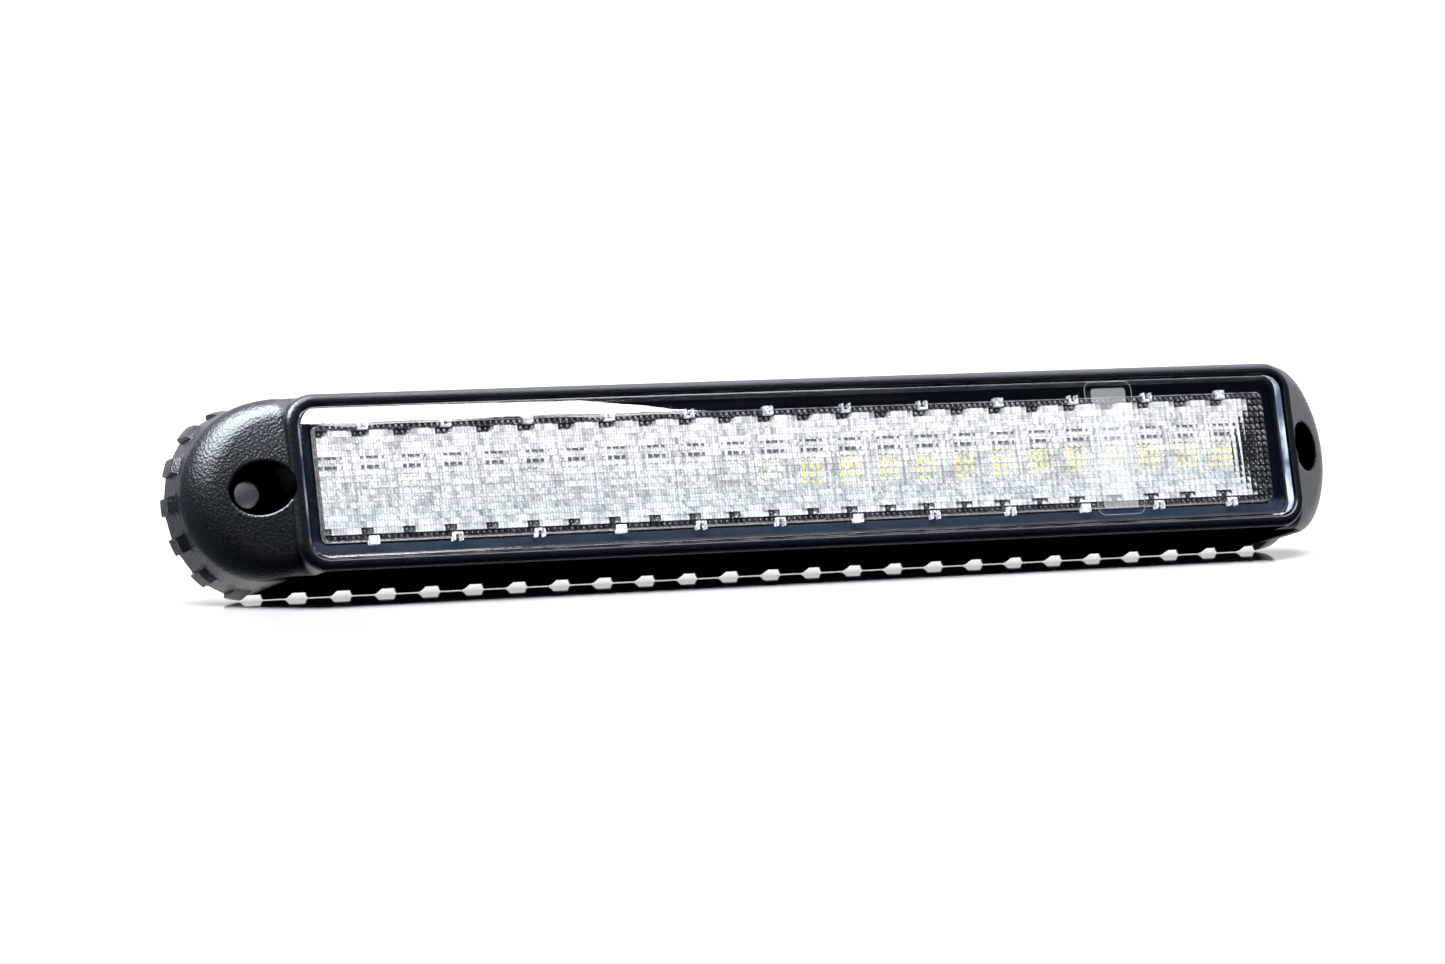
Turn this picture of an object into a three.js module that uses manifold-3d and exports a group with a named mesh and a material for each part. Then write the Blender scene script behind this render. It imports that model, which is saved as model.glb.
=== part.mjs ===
// LED light bar for a truck or trailer: a sealed, surface-mounted work and reversing light.
// Millimetres. X runs along the lamp, light leaves along -Y, +Z is up, and Y = 0 is the rear
// face that lies on the vehicle's panel. The origin is the centre of that face.

import * as THREE from "three";
import { mergeVertices } from "three/addons/utils/BufferGeometryUtils.js";
import Module from "manifold-3d";

const wasm = await Module();
wasm.setup();

// Driving dimensions
const DEPTH = 23.5; // rear face to the front of the bezel
const RIM_HALF_HEIGHT = 16.84; // over the rim teeth
const RIM_END_CENTRE = 99.5; // centre of the broad arc round each end
const RIM_END_RADIUS = 18.9;
const RIM_CORNER_RADIUS = 12.5; // blends the end arc into the straight sides
const WALL_INSET = 0.94; // rim tooth tips to the plain wall between them
const RIM_BAND = 5.6; // depth of the toothed band at the rear
const RIM_CHAMFER = 1.8; // slope at the front of each tooth
const REAR_CHAMFER = 0.35;

const TEETH_PITCH = 8.59; // along the straight sides
const STRAIGHT_GAPS = 25;
const END_GAPS = 6;
const GAP_TIP_WIDTH = 4.3;
const GAP_ROOT_WIDTH = 2.3;

const BEZEL_HALF_LENGTH = 103;
const BEZEL_HALF_HEIGHT = 15.6;
const BEZEL_CORNER = 5.5;
const BEZEL_EDGE = 1.4; // rounding of the bezel's front edge
const WINDOW_HALF_LENGTH = 101.1;
const WINDOW_HALF_HEIGHT = 13.6;
const WINDOW_CORNER = 3.6;

const DOME_START = -DEPTH + 0.9; // the sloping ends begin this far behind the bezel's front
const DOME_SLOPE = 0.8; // rise of the sloping end per millimetre of length
const DOME_EDGE = 3; // rounding between the sloping end and the side wall

const SCREW_X = 107;
const COUNTERBORE_RADIUS = 4.7;
const SCREW_HOLE_RADIUS = 2.35;
const SCREW_SEAT_Y = -12.35;
const SCREW_WEB = 1.5;
const BOSS_CORE_RADIUS = 4.2;
const BOSS_RADIUS = 6.7;

const CLEARANCE = 0.3;
const LENS_FRONT = -DEPTH + 0.4;
const LENS_THICKNESS = 1.8;
const SEAL_THICKNESS = 0.6;
const SEAT_Y = -20.2; // step that carries the lens seal
const OPTIC_FRONT = -20.9;
const OPTIC_THICKNESS = 2;
const OPTIC_HALF_LENGTH = 97.2;
const OPTIC_HALF_HEIGHT = 10.3;
const LEDGE_Y = -19.4;
const LEDGE_THICKNESS = 1.8;
const TAB_PITCH = 16;
const TAB_COUNT = 12;
const TAB_WIDTH = 1.8;
const TAB_HEIGHT = 1.5;

const LED_COUNT = 24;
const LED_PITCH = 8;
const LED_BASE = -11.5;
const LED_BODY = 2.8;
const LED_HEIGHT = 0.8;
const REFLECTOR_FRONT = -18.6;
const BOWL_RADIUS = 9.5;
const BOWL_THROAT = 2.4;
const BOARD_FRONT = LED_BASE + CLEARANCE;
const BOARD_THICKNESS = 1.6;
const BOARD_BACK = BOARD_FRONT + BOARD_THICKNESS;
const BOARD_HALF_LENGTH = 98.2;
const BOARD_HALF_HEIGHT = 12.2;

const COVER_THICKNESS = 2;
const COVER_HALF_LENGTH = 99.1;
const COVER_HALF_HEIGHT = 13.1;
const CABLE_X = 30;
const CABLE_RADIUS = 3.1;
const GROMMET_WALL = 1.2;
const GROMMET_FLANGE = 1.6;
const GROMMET_SEAT = 1; // depth of the flange's seat in the cover
const VENT_X = -60;
const VENT_RADIUS = 3.2;
const PAST = 1; // how far a cutting tool runs past the surface that it opens

// ---------------------------------------------------------------- solids and meshes

function solidOf(geometry) {
  const bare = geometry.clone();
  bare.deleteAttribute("normal");
  bare.deleteAttribute("uv");
  const merged = mergeVertices(bare, 1e-4);
  const mesh = new wasm.Mesh({
    numProp: 3,
    vertProperties: new Float32Array(merged.attributes.position.array),
    triVerts: new Uint32Array(merged.index.array),
  });
  return new wasm.Manifold(mesh);
}

function geometryOf(solid) {
  const mesh = solid.getMesh();
  const geometry = new THREE.BufferGeometry();
  geometry.setAttribute("position", new THREE.BufferAttribute(mesh.vertProperties, 3));
  geometry.setIndex(new THREE.BufferAttribute(mesh.triVerts, 1));
  geometry.computeVertexNormals();
  return geometry;
}

function joined(solids) {
  return solids.reduce((all, next) => all.add(next));
}

// A flat outline, drawn in X and Z, made solid from yFront to yBack. An edge size rounds both rims.
function plate(shape, yFront, yBack, edge = 0, segments = 6) {
  const geometry = new THREE.ExtrudeGeometry(shape, {
    depth: yBack - yFront - 2 * edge,
    steps: 1,
    curveSegments: segments,
    bevelEnabled: edge > 0,
    bevelSize: edge,
    bevelThickness: edge,
    bevelOffset: -edge,
    bevelSegments: 3,
  });
  geometry.rotateX(Math.PI / 2);
  geometry.translate(0, yBack - edge, 0);
  return solidOf(geometry);
}

function roundedRectangle(halfLength, halfHeight, radius) {
  const shape = new THREE.Shape();
  const x = halfLength - radius;
  const z = halfHeight - radius;
  shape.absarc(x, z, radius, 0, Math.PI / 2);
  shape.absarc(-x, z, radius, Math.PI / 2, Math.PI);
  shape.absarc(-x, -z, radius, Math.PI, 1.5 * Math.PI);
  shape.absarc(x, -z, radius, 1.5 * Math.PI, 2 * Math.PI);
  shape.closePath();
  return shape;
}

function block(width, depth, height, x, y, z) {
  return solidOf(new THREE.BoxGeometry(width, depth, height).translate(x, y, z));
}

// A round plug along Y between two depths.
function plug(radius, yFront, yBack, x, z = 0, segments = 24) {
  const geometry = new THREE.CylinderGeometry(radius, radius, yBack - yFront, segments);
  return solidOf(geometry.translate(x, (yFront + yBack) / 2, z));
}

// A closed shape turned about a Y axis at x, from [radius, y] pairs.
function turned(profile, x, segments = 24) {
  const points = profile.map(([radius, y]) => new THREE.Vector2(radius, y));
  return solidOf(new THREE.LatheGeometry(points, segments).translate(x, 0, 0));
}

// ---------------------------------------------------------------- rim outline

const cornerRise = RIM_HALF_HEIGHT - RIM_CORNER_RADIUS;
const cornerReach = Math.sqrt((RIM_END_RADIUS - RIM_CORNER_RADIUS) ** 2 - cornerRise ** 2);
const cornerCentre = RIM_END_CENTRE + cornerReach;
const blendAngle = Math.atan2(cornerRise, cornerReach);

// One quarter of the outline, from the middle of the +X end to the middle of the top side,
// as stretches of known length. Each gives the place and the outward direction at a distance.
const quarter = [
  {
    length: RIM_END_RADIUS * blendAngle,
    at(distance) {
      const angle = distance / RIM_END_RADIUS;
      const out = new THREE.Vector2(Math.cos(angle), Math.sin(angle));
      const place = out.clone().multiplyScalar(RIM_END_RADIUS);
      return { place: place.add(new THREE.Vector2(RIM_END_CENTRE, 0)), out };
    },
  },
  {
    length: RIM_CORNER_RADIUS * (Math.PI / 2 - blendAngle),
    at(distance) {
      const angle = blendAngle + distance / RIM_CORNER_RADIUS;
      const out = new THREE.Vector2(Math.cos(angle), Math.sin(angle));
      const place = out.clone().multiplyScalar(RIM_CORNER_RADIUS);
      return { place: place.add(new THREE.Vector2(cornerCentre, cornerRise)), out };
    },
  },
  {
    length: cornerCentre,
    at(distance) {
      const place = new THREE.Vector2(cornerCentre - distance, RIM_HALF_HEIGHT);
      return { place, out: new THREE.Vector2(0, 1) };
    },
  },
];
const quarterLength = quarter.reduce((sum, stretch) => sum + stretch.length, 0);

function onQuarter(distance) {
  let left = distance;
  for (const stretch of quarter.slice(0, -1)) {
    if (left <= stretch.length) return stretch.at(left);
    left -= stretch.length;
  }
  return quarter[quarter.length - 1].at(left);
}

// The place at a distance round the outline, counted from the middle of the +X end.
function onOutline(distance) {
  const turn = 4 * quarterLength;
  const along = ((distance % turn) + turn) % turn;
  const index = Math.floor(along / quarterLength);
  const rest = along - index * quarterLength;
  const spot = onQuarter(index % 2 === 0 ? rest : quarterLength - rest);
  const left = index === 1 || index === 2 ? -1 : 1;
  const below = index >= 2 ? -1 : 1;
  for (const vector of [spot.place, spot.out]) vector.set(vector.x * left, vector.y * below);
  return spot;
}

// Distances that follow the arcs closely and skip along the straights.
const arcLength = quarter[0].length + quarter[1].length;
const ARC_STEPS = 11;
const outlineStops = [];
for (let side = 0; side < 2; side += 1) {
  for (let step = -ARC_STEPS; step <= ARC_STEPS; step += 1) {
    outlineStops.push(side * 2 * quarterLength + (step / ARC_STEPS) * arcLength);
  }
}

function outlineShape(inset) {
  const points = outlineStops.map((distance) => {
    const { place, out } = onOutline(distance);
    return place.sub(out.multiplyScalar(inset));
  });
  return new THREE.Shape(points);
}

// Stacked outlines, each [inset, y], joined into one solid.
function outlineStack(levels) {
  const rings = levels.map(([inset, y]) =>
    outlineShape(inset).getPoints().map((point) => new THREE.Vector3(point.x, y, point.y)),
  );
  const count = rings[0].length;
  const places = rings.flat();
  const faces = [];
  for (let level = 0; level + 1 < rings.length; level += 1) {
    for (let i = 0; i < count; i += 1) {
      const a = level * count + i;
      const b = level * count + ((i + 1) % count);
      faces.push(a, b, b + count, a, b + count, a + count);
    }
  }
  const last = (rings.length - 1) * count;
  for (let i = 1; i + 1 < count; i += 1) {
    faces.push(0, i + 1, i, last, last + i, last + i + 1);
  }
  return faceted(places, faces);
}

function faceted(places, faces) {
  const geometry = new THREE.BufferGeometry().setFromPoints(places);
  geometry.setIndex(faces);
  const solid = solidOf(geometry);
  if (solid.volume() > 0) return solid;
  geometry.setIndex(faces.slice().reverse());
  return solidOf(geometry);
}

// ---------------------------------------------------------------- housing

const wallHalfHeight = RIM_HALF_HEIGHT - WALL_INSET;

function domeFront(x) {
  return DOME_START + DOME_SLOPE * Math.max(0, Math.abs(x) - BEZEL_HALF_LENGTH);
}

// Distance from the end arc's centre to the plain wall, at an angle from the lamp's length.
function wallReach(angle) {
  const flat = Math.abs(angle);
  const cornerRadius = RIM_CORNER_RADIUS - WALL_INSET;
  if (flat <= blendAngle) return RIM_END_RADIUS - WALL_INSET;
  const across = cornerReach * Math.cos(flat) + cornerRise * Math.sin(flat);
  const offset = cornerReach ** 2 + cornerRise ** 2 - cornerRadius ** 2;
  const onArc = across + Math.sqrt(across ** 2 - offset);
  return onArc * Math.cos(flat) >= cornerReach ? onArc : wallHalfHeight / Math.sin(flat);
}

// One sloping end, side +1 or -1: a fan of radial rows from the arc's centre to the wall.
function domeEnd(side) {
  const stations = 24;
  const roundSteps = 5;
  const insets = [];
  for (let step = 0; step <= roundSteps; step += 1) {
    insets.push(DOME_EDGE * (1 - Math.sin((step / roundSteps) * (Math.PI / 2))));
  }
  const rows = [];
  for (let i = 0; i <= stations; i += 1) {
    const angle = (i / stations - 0.5) * Math.PI;
    const reach = wallReach(angle);
    const spots = [0, 0.5 * (reach - DOME_EDGE), ...insets.map((inset) => reach - inset)];
    rows.push(
      spots.map((radius) => {
        const x = RIM_END_CENTRE + radius * Math.cos(angle);
        const fall = Math.min(DOME_EDGE, Math.max(0, DOME_EDGE - reach + radius));
        const drop = DOME_EDGE - Math.sqrt(DOME_EDGE ** 2 - fall ** 2);
        return new THREE.Vector3(side * x, domeFront(x) + drop, radius * Math.sin(angle));
      }),
    );
    const wall = rows[i][rows[i].length - 1];
    rows[i].push(new THREE.Vector3(wall.x, 0, wall.z));
    rows[i].push(new THREE.Vector3(side * RIM_END_CENTRE, 0, 0));
  }
  const width = rows[0].length;
  const faces = [];
  for (let i = 0; i < stations; i += 1) {
    for (let j = 0; j + 1 < width; j += 1) {
      const a = i * width + j;
      const b = a + width;
      if (j > 0) faces.push(a, b, b + 1);
      if (j + 2 < width) faces.push(a, b + 1, a + 1);
    }
  }
  const hub = width - 1;
  for (let j = 0; j + 2 < width; j += 1) {
    const far = stations * width + j;
    faces.push(hub, j, j + 1, hub, far + 1, far);
  }
  return faceted(rows.flat(), faces);
}

// The straight part of the body, which runs a little way into the sloping ends.
function middleBody() {
  const overlap = 1.2;
  const half = RIM_END_CENTRE + overlap;
  const shape = new THREE.Shape([
    new THREE.Vector2(DOME_START, -BEZEL_HALF_HEIGHT),
    new THREE.Vector2(0, -wallHalfHeight),
    new THREE.Vector2(0, wallHalfHeight),
    new THREE.Vector2(DOME_START, BEZEL_HALF_HEIGHT),
  ]);
  const geometry = new THREE.ExtrudeGeometry(shape, { depth: 2 * half, bevelEnabled: false });
  geometry.translate(0, 0, -half);
  const turn = new THREE.Matrix4().set(0, 0, 1, 0, 1, 0, 0, 0, 0, 1, 0, 0, 0, 0, 0, 1);
  return solidOf(geometry.applyMatrix4(turn));
}

// The rim band with a trapezoid gap cut at each stop round the outline.
function toothedRim() {
  const band = outlineStack([
    [WALL_INSET + 0.1, -RIM_BAND],
    [0, -RIM_BAND + RIM_CHAMFER],
    [0, -REAR_CHAMFER],
    [REAR_CHAMFER, 0],
  ]);
  const topMiddle = quarterLength;
  const endSpan = 2 * (quarterLength - ((STRAIGHT_GAPS - 1) / 2) * TEETH_PITCH);
  const stops = [];
  for (let side = 0; side < 2; side += 1) {
    const middle = topMiddle + side * 2 * quarterLength;
    for (let k = 0; k < STRAIGHT_GAPS; k += 1) {
      stops.push(middle + (k - (STRAIGHT_GAPS - 1) / 2) * TEETH_PITCH);
    }
    const endMiddle = side * 2 * quarterLength;
    for (let k = 0; k < END_GAPS; k += 1) {
      stops.push(endMiddle + (k - (END_GAPS - 1) / 2) * (endSpan / (END_GAPS + 1)));
    }
  }
  const below = 1.6; // how far the cutter reaches inside the outline, and outside it
  const above = 0.8;
  const flank = (GAP_TIP_WIDTH - GAP_ROOT_WIDTH) / 2 / WALL_INSET;
  const rootHalf = GAP_TIP_WIDTH / 2 - below * flank;
  const tipHalf = GAP_TIP_WIDTH / 2 + above * flank;
  const gaps = stops.map((stop) => {
    const { place, out } = onOutline(stop);
    const along = new THREE.Vector2(-out.y, out.x);
    const corner = (width, height) =>
      place.clone().addScaledVector(along, width).addScaledVector(out, height);
    const shape = new THREE.Shape([
      corner(-rootHalf, -below),
      corner(-tipHalf, above),
      corner(tipHalf, above),
      corner(rootHalf, -below),
    ]);
    return plate(shape, -RIM_BAND - PAST, PAST);
  });
  return band.subtract(joined(gaps));
}

// Moulding pockets in the rear of one end, round the screw boss, with three ribs left standing.
function endPockets(side) {
  const wall = 2.4;
  const rib = 1.6;
  const deepest = -14;
  const start = RIM_END_CENTRE + 2;
  const wide = 60; // wider than the end in every direction
  const outer = plate(outlineShape(WALL_INSET + wall), deepest, PAST);
  const reach = RIM_END_CENTRE + RIM_END_RADIUS - start;
  const zone = block(reach, wide, wide, side * (start + reach / 2), 0, 0);
  const lean = THREE.MathUtils.radToDeg(Math.atan(DOME_SLOPE));
  const wallAlongY = wall * Math.hypot(1, DOME_SLOPE);
  const slope = block(wide, wide, wide, (side * wide) / 2, wide / 2, 0)
    .rotate([0, 0, side * lean])
    .translate([side * BEZEL_HALF_LENGTH, DOME_START + wallAlongY, 0]);
  const boss = plug(BOSS_RADIUS, deepest - PAST, 2 * PAST, side * SCREW_X, 0, 32);
  const ribs = [-60, 0, 60].map((angle) =>
    block(wide, wide, rib, wide / 2, 0, 0)
      .rotate([0, side < 0 ? 180 + angle : angle, 0])
      .translate([side * SCREW_X, 0, 0]),
  );
  return outer.intersect(zone).intersect(slope).subtract(boss).subtract(joined(ribs));
}

function screwHole(side) {
  const x = side * SCREW_X;
  const webBack = SCREW_SEAT_Y + SCREW_WEB;
  return joined([
    plug(COUNTERBORE_RADIUS, -DEPTH - PAST, SCREW_SEAT_Y, x, 0, 36),
    plug(SCREW_HOLE_RADIUS, SCREW_SEAT_Y - PAST, webBack + PAST, x, 0, 24),
    plug(BOSS_CORE_RADIUS, webBack, PAST, x, 0, 24),
  ]);
}

// The window's outline, drawn smaller all round by an inset.
function windowOutline(inset) {
  return roundedRectangle(
    WINDOW_HALF_LENGTH - inset,
    WINDOW_HALF_HEIGHT - inset,
    WINDOW_CORNER - inset,
  );
}

function housing() {
  const bezel = roundedRectangle(BEZEL_HALF_LENGTH, BEZEL_HALF_HEIGHT, BEZEL_CORNER);
  const bezelRoot = 4; // how far the bezel's ring runs back into the body
  const body = joined([
    middleBody(),
    domeEnd(-1),
    domeEnd(1),
    plate(bezel, -DEPTH, DOME_START + bezelRoot, BEZEL_EDGE),
    toothedRim(),
  ]);
  const pocket = roundedRectangle(OPTIC_HALF_LENGTH + 2.4, OPTIC_HALF_HEIGHT + 1.9, 3);
  const opening = roundedRectangle(OPTIC_HALF_LENGTH + 0.5, OPTIC_HALF_HEIGHT + 0.4, 1.5);
  const cavity = roundedRectangle(BOARD_HALF_LENGTH + 0.4, BOARD_HALF_HEIGHT + 0.4, 3);
  const gap = CLEARANCE;
  const rebate = roundedRectangle(COVER_HALF_LENGTH + gap, COVER_HALF_HEIGHT + gap, 3.5);
  const ledgeBack = LEDGE_Y + LEDGE_THICKNESS;
  const cuts = [
    plate(windowOutline(0), -DEPTH - PAST, SEAT_Y),
    plate(pocket, SEAT_Y - PAST, LEDGE_Y),
    plate(opening, LEDGE_Y - PAST, ledgeBack + PAST, 0, 3),
    plate(cavity, ledgeBack, PAST, 0, 4),
    plate(rebate, -COVER_THICKNESS - gap, PAST, 0, 4),
    screwHole(-1),
    screwHole(1),
    endPockets(-1),
    endPockets(1),
  ];
  return cuts.reduce((solid, cut) => solid.subtract(cut), body);
}

// ---------------------------------------------------------------- optics

function outerLens() {
  const edge = 0.4;
  return plate(windowOutline(CLEARANCE), LENS_FRONT, LENS_FRONT + LENS_THICKNESS, edge);
}

function lensSeal() {
  const sealGap = 0.25;
  const width = 0.7;
  const outerInset = 0.4;
  const back = SEAT_Y - sealGap;
  const ring = plate(windowOutline(outerInset), back - SEAL_THICKNESS, back);
  const inner = windowOutline(outerInset + width);
  return ring.subtract(plate(inner, back - SEAL_THICKNESS - PAST, back + PAST));
}

// A clear plate carrying a row of square locating tabs along its top and bottom edges.
function prismOptic() {
  const outline = roundedRectangle(OPTIC_HALF_LENGTH, OPTIC_HALF_HEIGHT, 1.2);
  const plateSolid = plate(outline, OPTIC_FRONT, OPTIC_FRONT + OPTIC_THICKNESS, 0, 3);
  const depth = LEDGE_Y - CLEARANCE - OPTIC_FRONT;
  const proud = 0.2; // the tabs stand this far in front of the plate
  const tabs = [];
  for (const edge of [-1, 1]) {
    for (let k = 0; k < TAB_COUNT; k += 1) {
      const x = (k - (TAB_COUNT - 1) / 2) * TAB_PITCH;
      const z = edge * OPTIC_HALF_HEIGHT;
      const y = OPTIC_FRONT + depth / 2 - proud;
      tabs.push(block(TAB_WIDTH, depth, TAB_HEIGHT, x, y, z));
    }
  }
  return joined([plateSolid, ...tabs]);
}

const ledPlaces = [];
for (let k = 0; k < LED_COUNT; k += 1) ledPlaces.push((k - (LED_COUNT - 1) / 2) * LED_PITCH);

// A tray of overlapping parabolic bowls, one round each LED.
function reflector() {
  const halfLength = OPTIC_HALF_LENGTH;
  const halfHeight = OPTIC_HALF_HEIGHT;
  const outline = roundedRectangle(halfLength, halfHeight, 1.2);
  const tray = plate(outline, REFLECTOR_FRONT, LED_BASE, 0, 3);
  const lip = 0.6; // straight wall at the throat of each bowl
  const floor = LED_BASE - lip;
  const height = floor - REFLECTOR_FRONT;
  const rings = 5;
  const profile = [[0, LED_BASE + PAST], [BOWL_THROAT, LED_BASE + PAST], [BOWL_THROAT, floor]];
  const spread = BOWL_RADIUS ** 2 - BOWL_THROAT ** 2;
  for (let ring = 1; ring <= rings; ring += 1) {
    const radius = BOWL_THROAT + (ring / rings) * (BOWL_RADIUS - BOWL_THROAT);
    profile.push([radius, floor - (height * (radius ** 2 - BOWL_THROAT ** 2)) / spread]);
  }
  profile.push([BOWL_RADIUS, REFLECTOR_FRONT - PAST], [0, REFLECTOR_FRONT - PAST]);
  profile.reverse();
  const border = 1; // tray left standing at each end
  const inside = block(2 * (halfLength - border), DEPTH, 2 * halfHeight, 0, floor, 0);
  const bowls = joined(ledPlaces.map((x) => turned(profile, x, 16))).intersect(inside);
  return tray.subtract(bowls);
}

// ---------------------------------------------------------------- electronics

function circuitBoard() {
  const outline = roundedRectangle(BOARD_HALF_LENGTH, BOARD_HALF_HEIGHT, 2.6);
  return plate(outline, BOARD_FRONT, BOARD_BACK, 0, 4);
}

// A square package with a round phosphor window standing a little proud.
function led(x) {
  const proud = 0.15;
  const windowRadius = 1.15;
  const front = LED_BASE - LED_HEIGHT;
  const height = LED_HEIGHT - proud;
  const body = block(LED_BODY, height, LED_BODY, x, LED_BASE - height / 2, 0);
  return body.add(plug(windowRadius, front, front + 2 * proud, x, 0, 12));
}

// A soldered package on the rear of the board: a block with chamfered rear edges.
function boardPart(width, height, thickness, x, z) {
  const shape = roundedRectangle(width / 2, height / 2, 0.3);
  const front = BOARD_BACK + CLEARANCE;
  const solid = plate(shape, front, front + thickness, 0, 1);
  return solid.translate([x, 0, z]);
}

// A two-way terminal behind the cable inlet, with a square wire pocket for each core.
function wireTerminal() {
  const thickness = 3;
  const pocketOffset = 2.2;
  const rear = BOARD_BACK + CLEARANCE + thickness;
  const pockets = [-1, 1].map((side) =>
    block(2.6, thickness, 2.4, CABLE_X + side * pocketOffset, rear, 0),
  );
  return boardPart(9, 6, thickness, CABLE_X, 0).subtract(joined(pockets));
}

// ---------------------------------------------------------------- rear cover and its fittings

// The cover's cable hole is stepped: a wide shallow seat in the rear face and a narrow neck.
function rearCover() {
  const outline = roundedRectangle(COVER_HALF_LENGTH, COVER_HALF_HEIGHT, 3.2);
  const neck = CABLE_RADIUS + GROMMET_WALL + CLEARANCE;
  const seat = neck + GROMMET_FLANGE + CLEARANCE;
  return plate(outline, -COVER_THICKNESS, 0, 0, 4)
    .subtract(plug(neck, -COVER_THICKNESS - PAST, PAST, CABLE_X))
    .subtract(plug(seat, -GROMMET_SEAT, PAST, CABLE_X))
    .subtract(plug(VENT_RADIUS + CLEARANCE, -COVER_THICKNESS - PAST, PAST, VENT_X));
}

// Rubber ring with a groove that holds the cover's edge.
function cableGrommet() {
  const bore = CABLE_RADIUS;
  const neck = bore + GROMMET_WALL;
  const flange = neck + GROMMET_FLANGE;
  const outside = -0.2;
  const groove = -GROMMET_SEAT + CLEARANCE;
  const inner = -COVER_THICKNESS - CLEARANCE;
  const end = inner - 0.9;
  return turned(
    [
      [bore, end],
      [flange - 0.3, end],
      [flange, inner],
      [neck, inner],
      [neck, groove],
      [flange - 0.1, groove],
      [flange - 0.3, outside],
      [bore, outside],
      [bore, end],
    ],
    CABLE_X,
  );
}

function ventPlug() {
  return turned(
    [
      [0, -COVER_THICKNESS],
      [VENT_RADIUS, -COVER_THICKNESS],
      [VENT_RADIUS, -0.6],
      [VENT_RADIUS - 0.5, -0.25],
      [1.4, -0.25],
      [1.2, -0.8],
      [0, -0.8],
    ],
    VENT_X,
  );
}

// ---------------------------------------------------------------- materials and assembly

function finish(color, roughness, metalness, opacity = 1) {
  return new THREE.MeshStandardMaterial({
    color,
    roughness,
    metalness,
    opacity,
    transparent: opacity < 1,
  });
}

const finishes = {
  blackPlastic: () => finish(0x17191c, 0.55, 0),
  clearLens: () => finish(0xf4f8fa, 0.04, 0, 0.25),
  clearOptic: () => finish(0xeef2f4, 0.1, 0, 0.4),
  silicone: () => finish(0x2a2c2e, 0.7, 0),
  mirror: () => finish(0xd8dadc, 0.12, 1),
  board: () => finish(0xe8eae6, 0.5, 0),
  ledBody: () => finish(0xf2d548, 0.4, 0),
  chip: () => finish(0x1b1b1d, 0.5, 0),
  ceramic: () => finish(0xb89a72, 0.5, 0),
  terminal: () => finish(0xdedfd8, 0.45, 0),
  rubber: () => finish(0x151617, 0.85, 0),
  membrane: () => finish(0xc9cccd, 0.8, 0),
};

const lightBar = new THREE.Group();

function addPart(name, solid, material) {
  const mesh = new THREE.Mesh(geometryOf(solid), material());
  mesh.name = name;
  lightBar.add(mesh);
}

addPart("housing", housing(), finishes.blackPlastic);
addPart("outer_lens", outerLens(), finishes.clearLens);
addPart("lens_seal", lensSeal(), finishes.silicone);
addPart("prism_optic", prismOptic(), finishes.clearOptic);
addPart("reflector", reflector(), finishes.mirror);
addPart("circuit_board", circuitBoard(), finishes.board);
ledPlaces.forEach((x, k) => {
  addPart(`led_${String(k + 1).padStart(2, "0")}`, led(x), finishes.ledBody);
});
addPart("driver_chip_left", boardPart(5, 4, 1.5, -46, 0), finishes.chip);
addPart("driver_chip_right", boardPart(5, 4, 1.5, 62, 0), finishes.chip);
addPart("input_diode", boardPart(4.3, 3.6, 2.1, 12, -4), finishes.chip);
addPart("capacitor_left", boardPart(3.2, 2.5, 1.8, -30, 5), finishes.ceramic);
addPart("capacitor_right", boardPart(3.2, 2.5, 1.8, 46, 5), finishes.ceramic);
[-80, -66, 76, 88].forEach((x, k) => {
  addPart(`resistor_${k + 1}`, boardPart(3.2, 1.6, 0.6, x, 0), finishes.chip);
});
addPart("wire_terminal", wireTerminal(), finishes.terminal);
addPart("rear_cover", rearCover(), finishes.blackPlastic);
addPart("cable_grommet", cableGrommet(), finishes.rubber);
addPart("vent_plug", ventPlug(), finishes.membrane);

export default lightBar;
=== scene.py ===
# Looks of the LED light bar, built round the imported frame. Shapes are worked out in millimetres
# in the part's own frame, and become metres when a mesh is made.
import math

import bmesh
import bpy
import numpy as np
from mathutils import Matrix, Vector


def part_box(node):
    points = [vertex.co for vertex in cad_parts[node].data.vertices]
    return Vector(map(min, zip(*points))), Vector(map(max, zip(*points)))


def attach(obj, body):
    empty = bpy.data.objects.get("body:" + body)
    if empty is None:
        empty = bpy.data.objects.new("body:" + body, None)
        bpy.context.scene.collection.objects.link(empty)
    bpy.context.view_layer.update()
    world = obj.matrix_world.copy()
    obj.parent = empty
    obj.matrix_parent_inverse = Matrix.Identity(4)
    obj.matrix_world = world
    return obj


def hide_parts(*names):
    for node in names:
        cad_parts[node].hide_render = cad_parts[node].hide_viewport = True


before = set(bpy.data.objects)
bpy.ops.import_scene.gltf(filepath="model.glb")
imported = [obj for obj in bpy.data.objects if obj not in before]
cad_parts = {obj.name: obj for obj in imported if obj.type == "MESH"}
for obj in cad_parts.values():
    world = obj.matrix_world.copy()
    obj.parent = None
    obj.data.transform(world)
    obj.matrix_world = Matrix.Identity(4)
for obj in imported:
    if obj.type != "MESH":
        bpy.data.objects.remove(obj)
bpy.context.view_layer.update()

MM = 0.001


def node_box(name):
    """Lowest and highest corners of a CAD node, in millimetres."""
    low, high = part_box(name)
    return low / MM, high / MM


house_low, house_high = node_box("housing")
lens_low, lens_high = node_box("outer_lens")
_, optic_high = node_box("prism_optic")
tray_low, tray_high = node_box("reflector")
cover_low, cover_high = node_box("rear_cover")
grommet_low, grommet_high = node_box("cable_grommet")
vent_low, vent_high = node_box("vent_plug")

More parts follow.
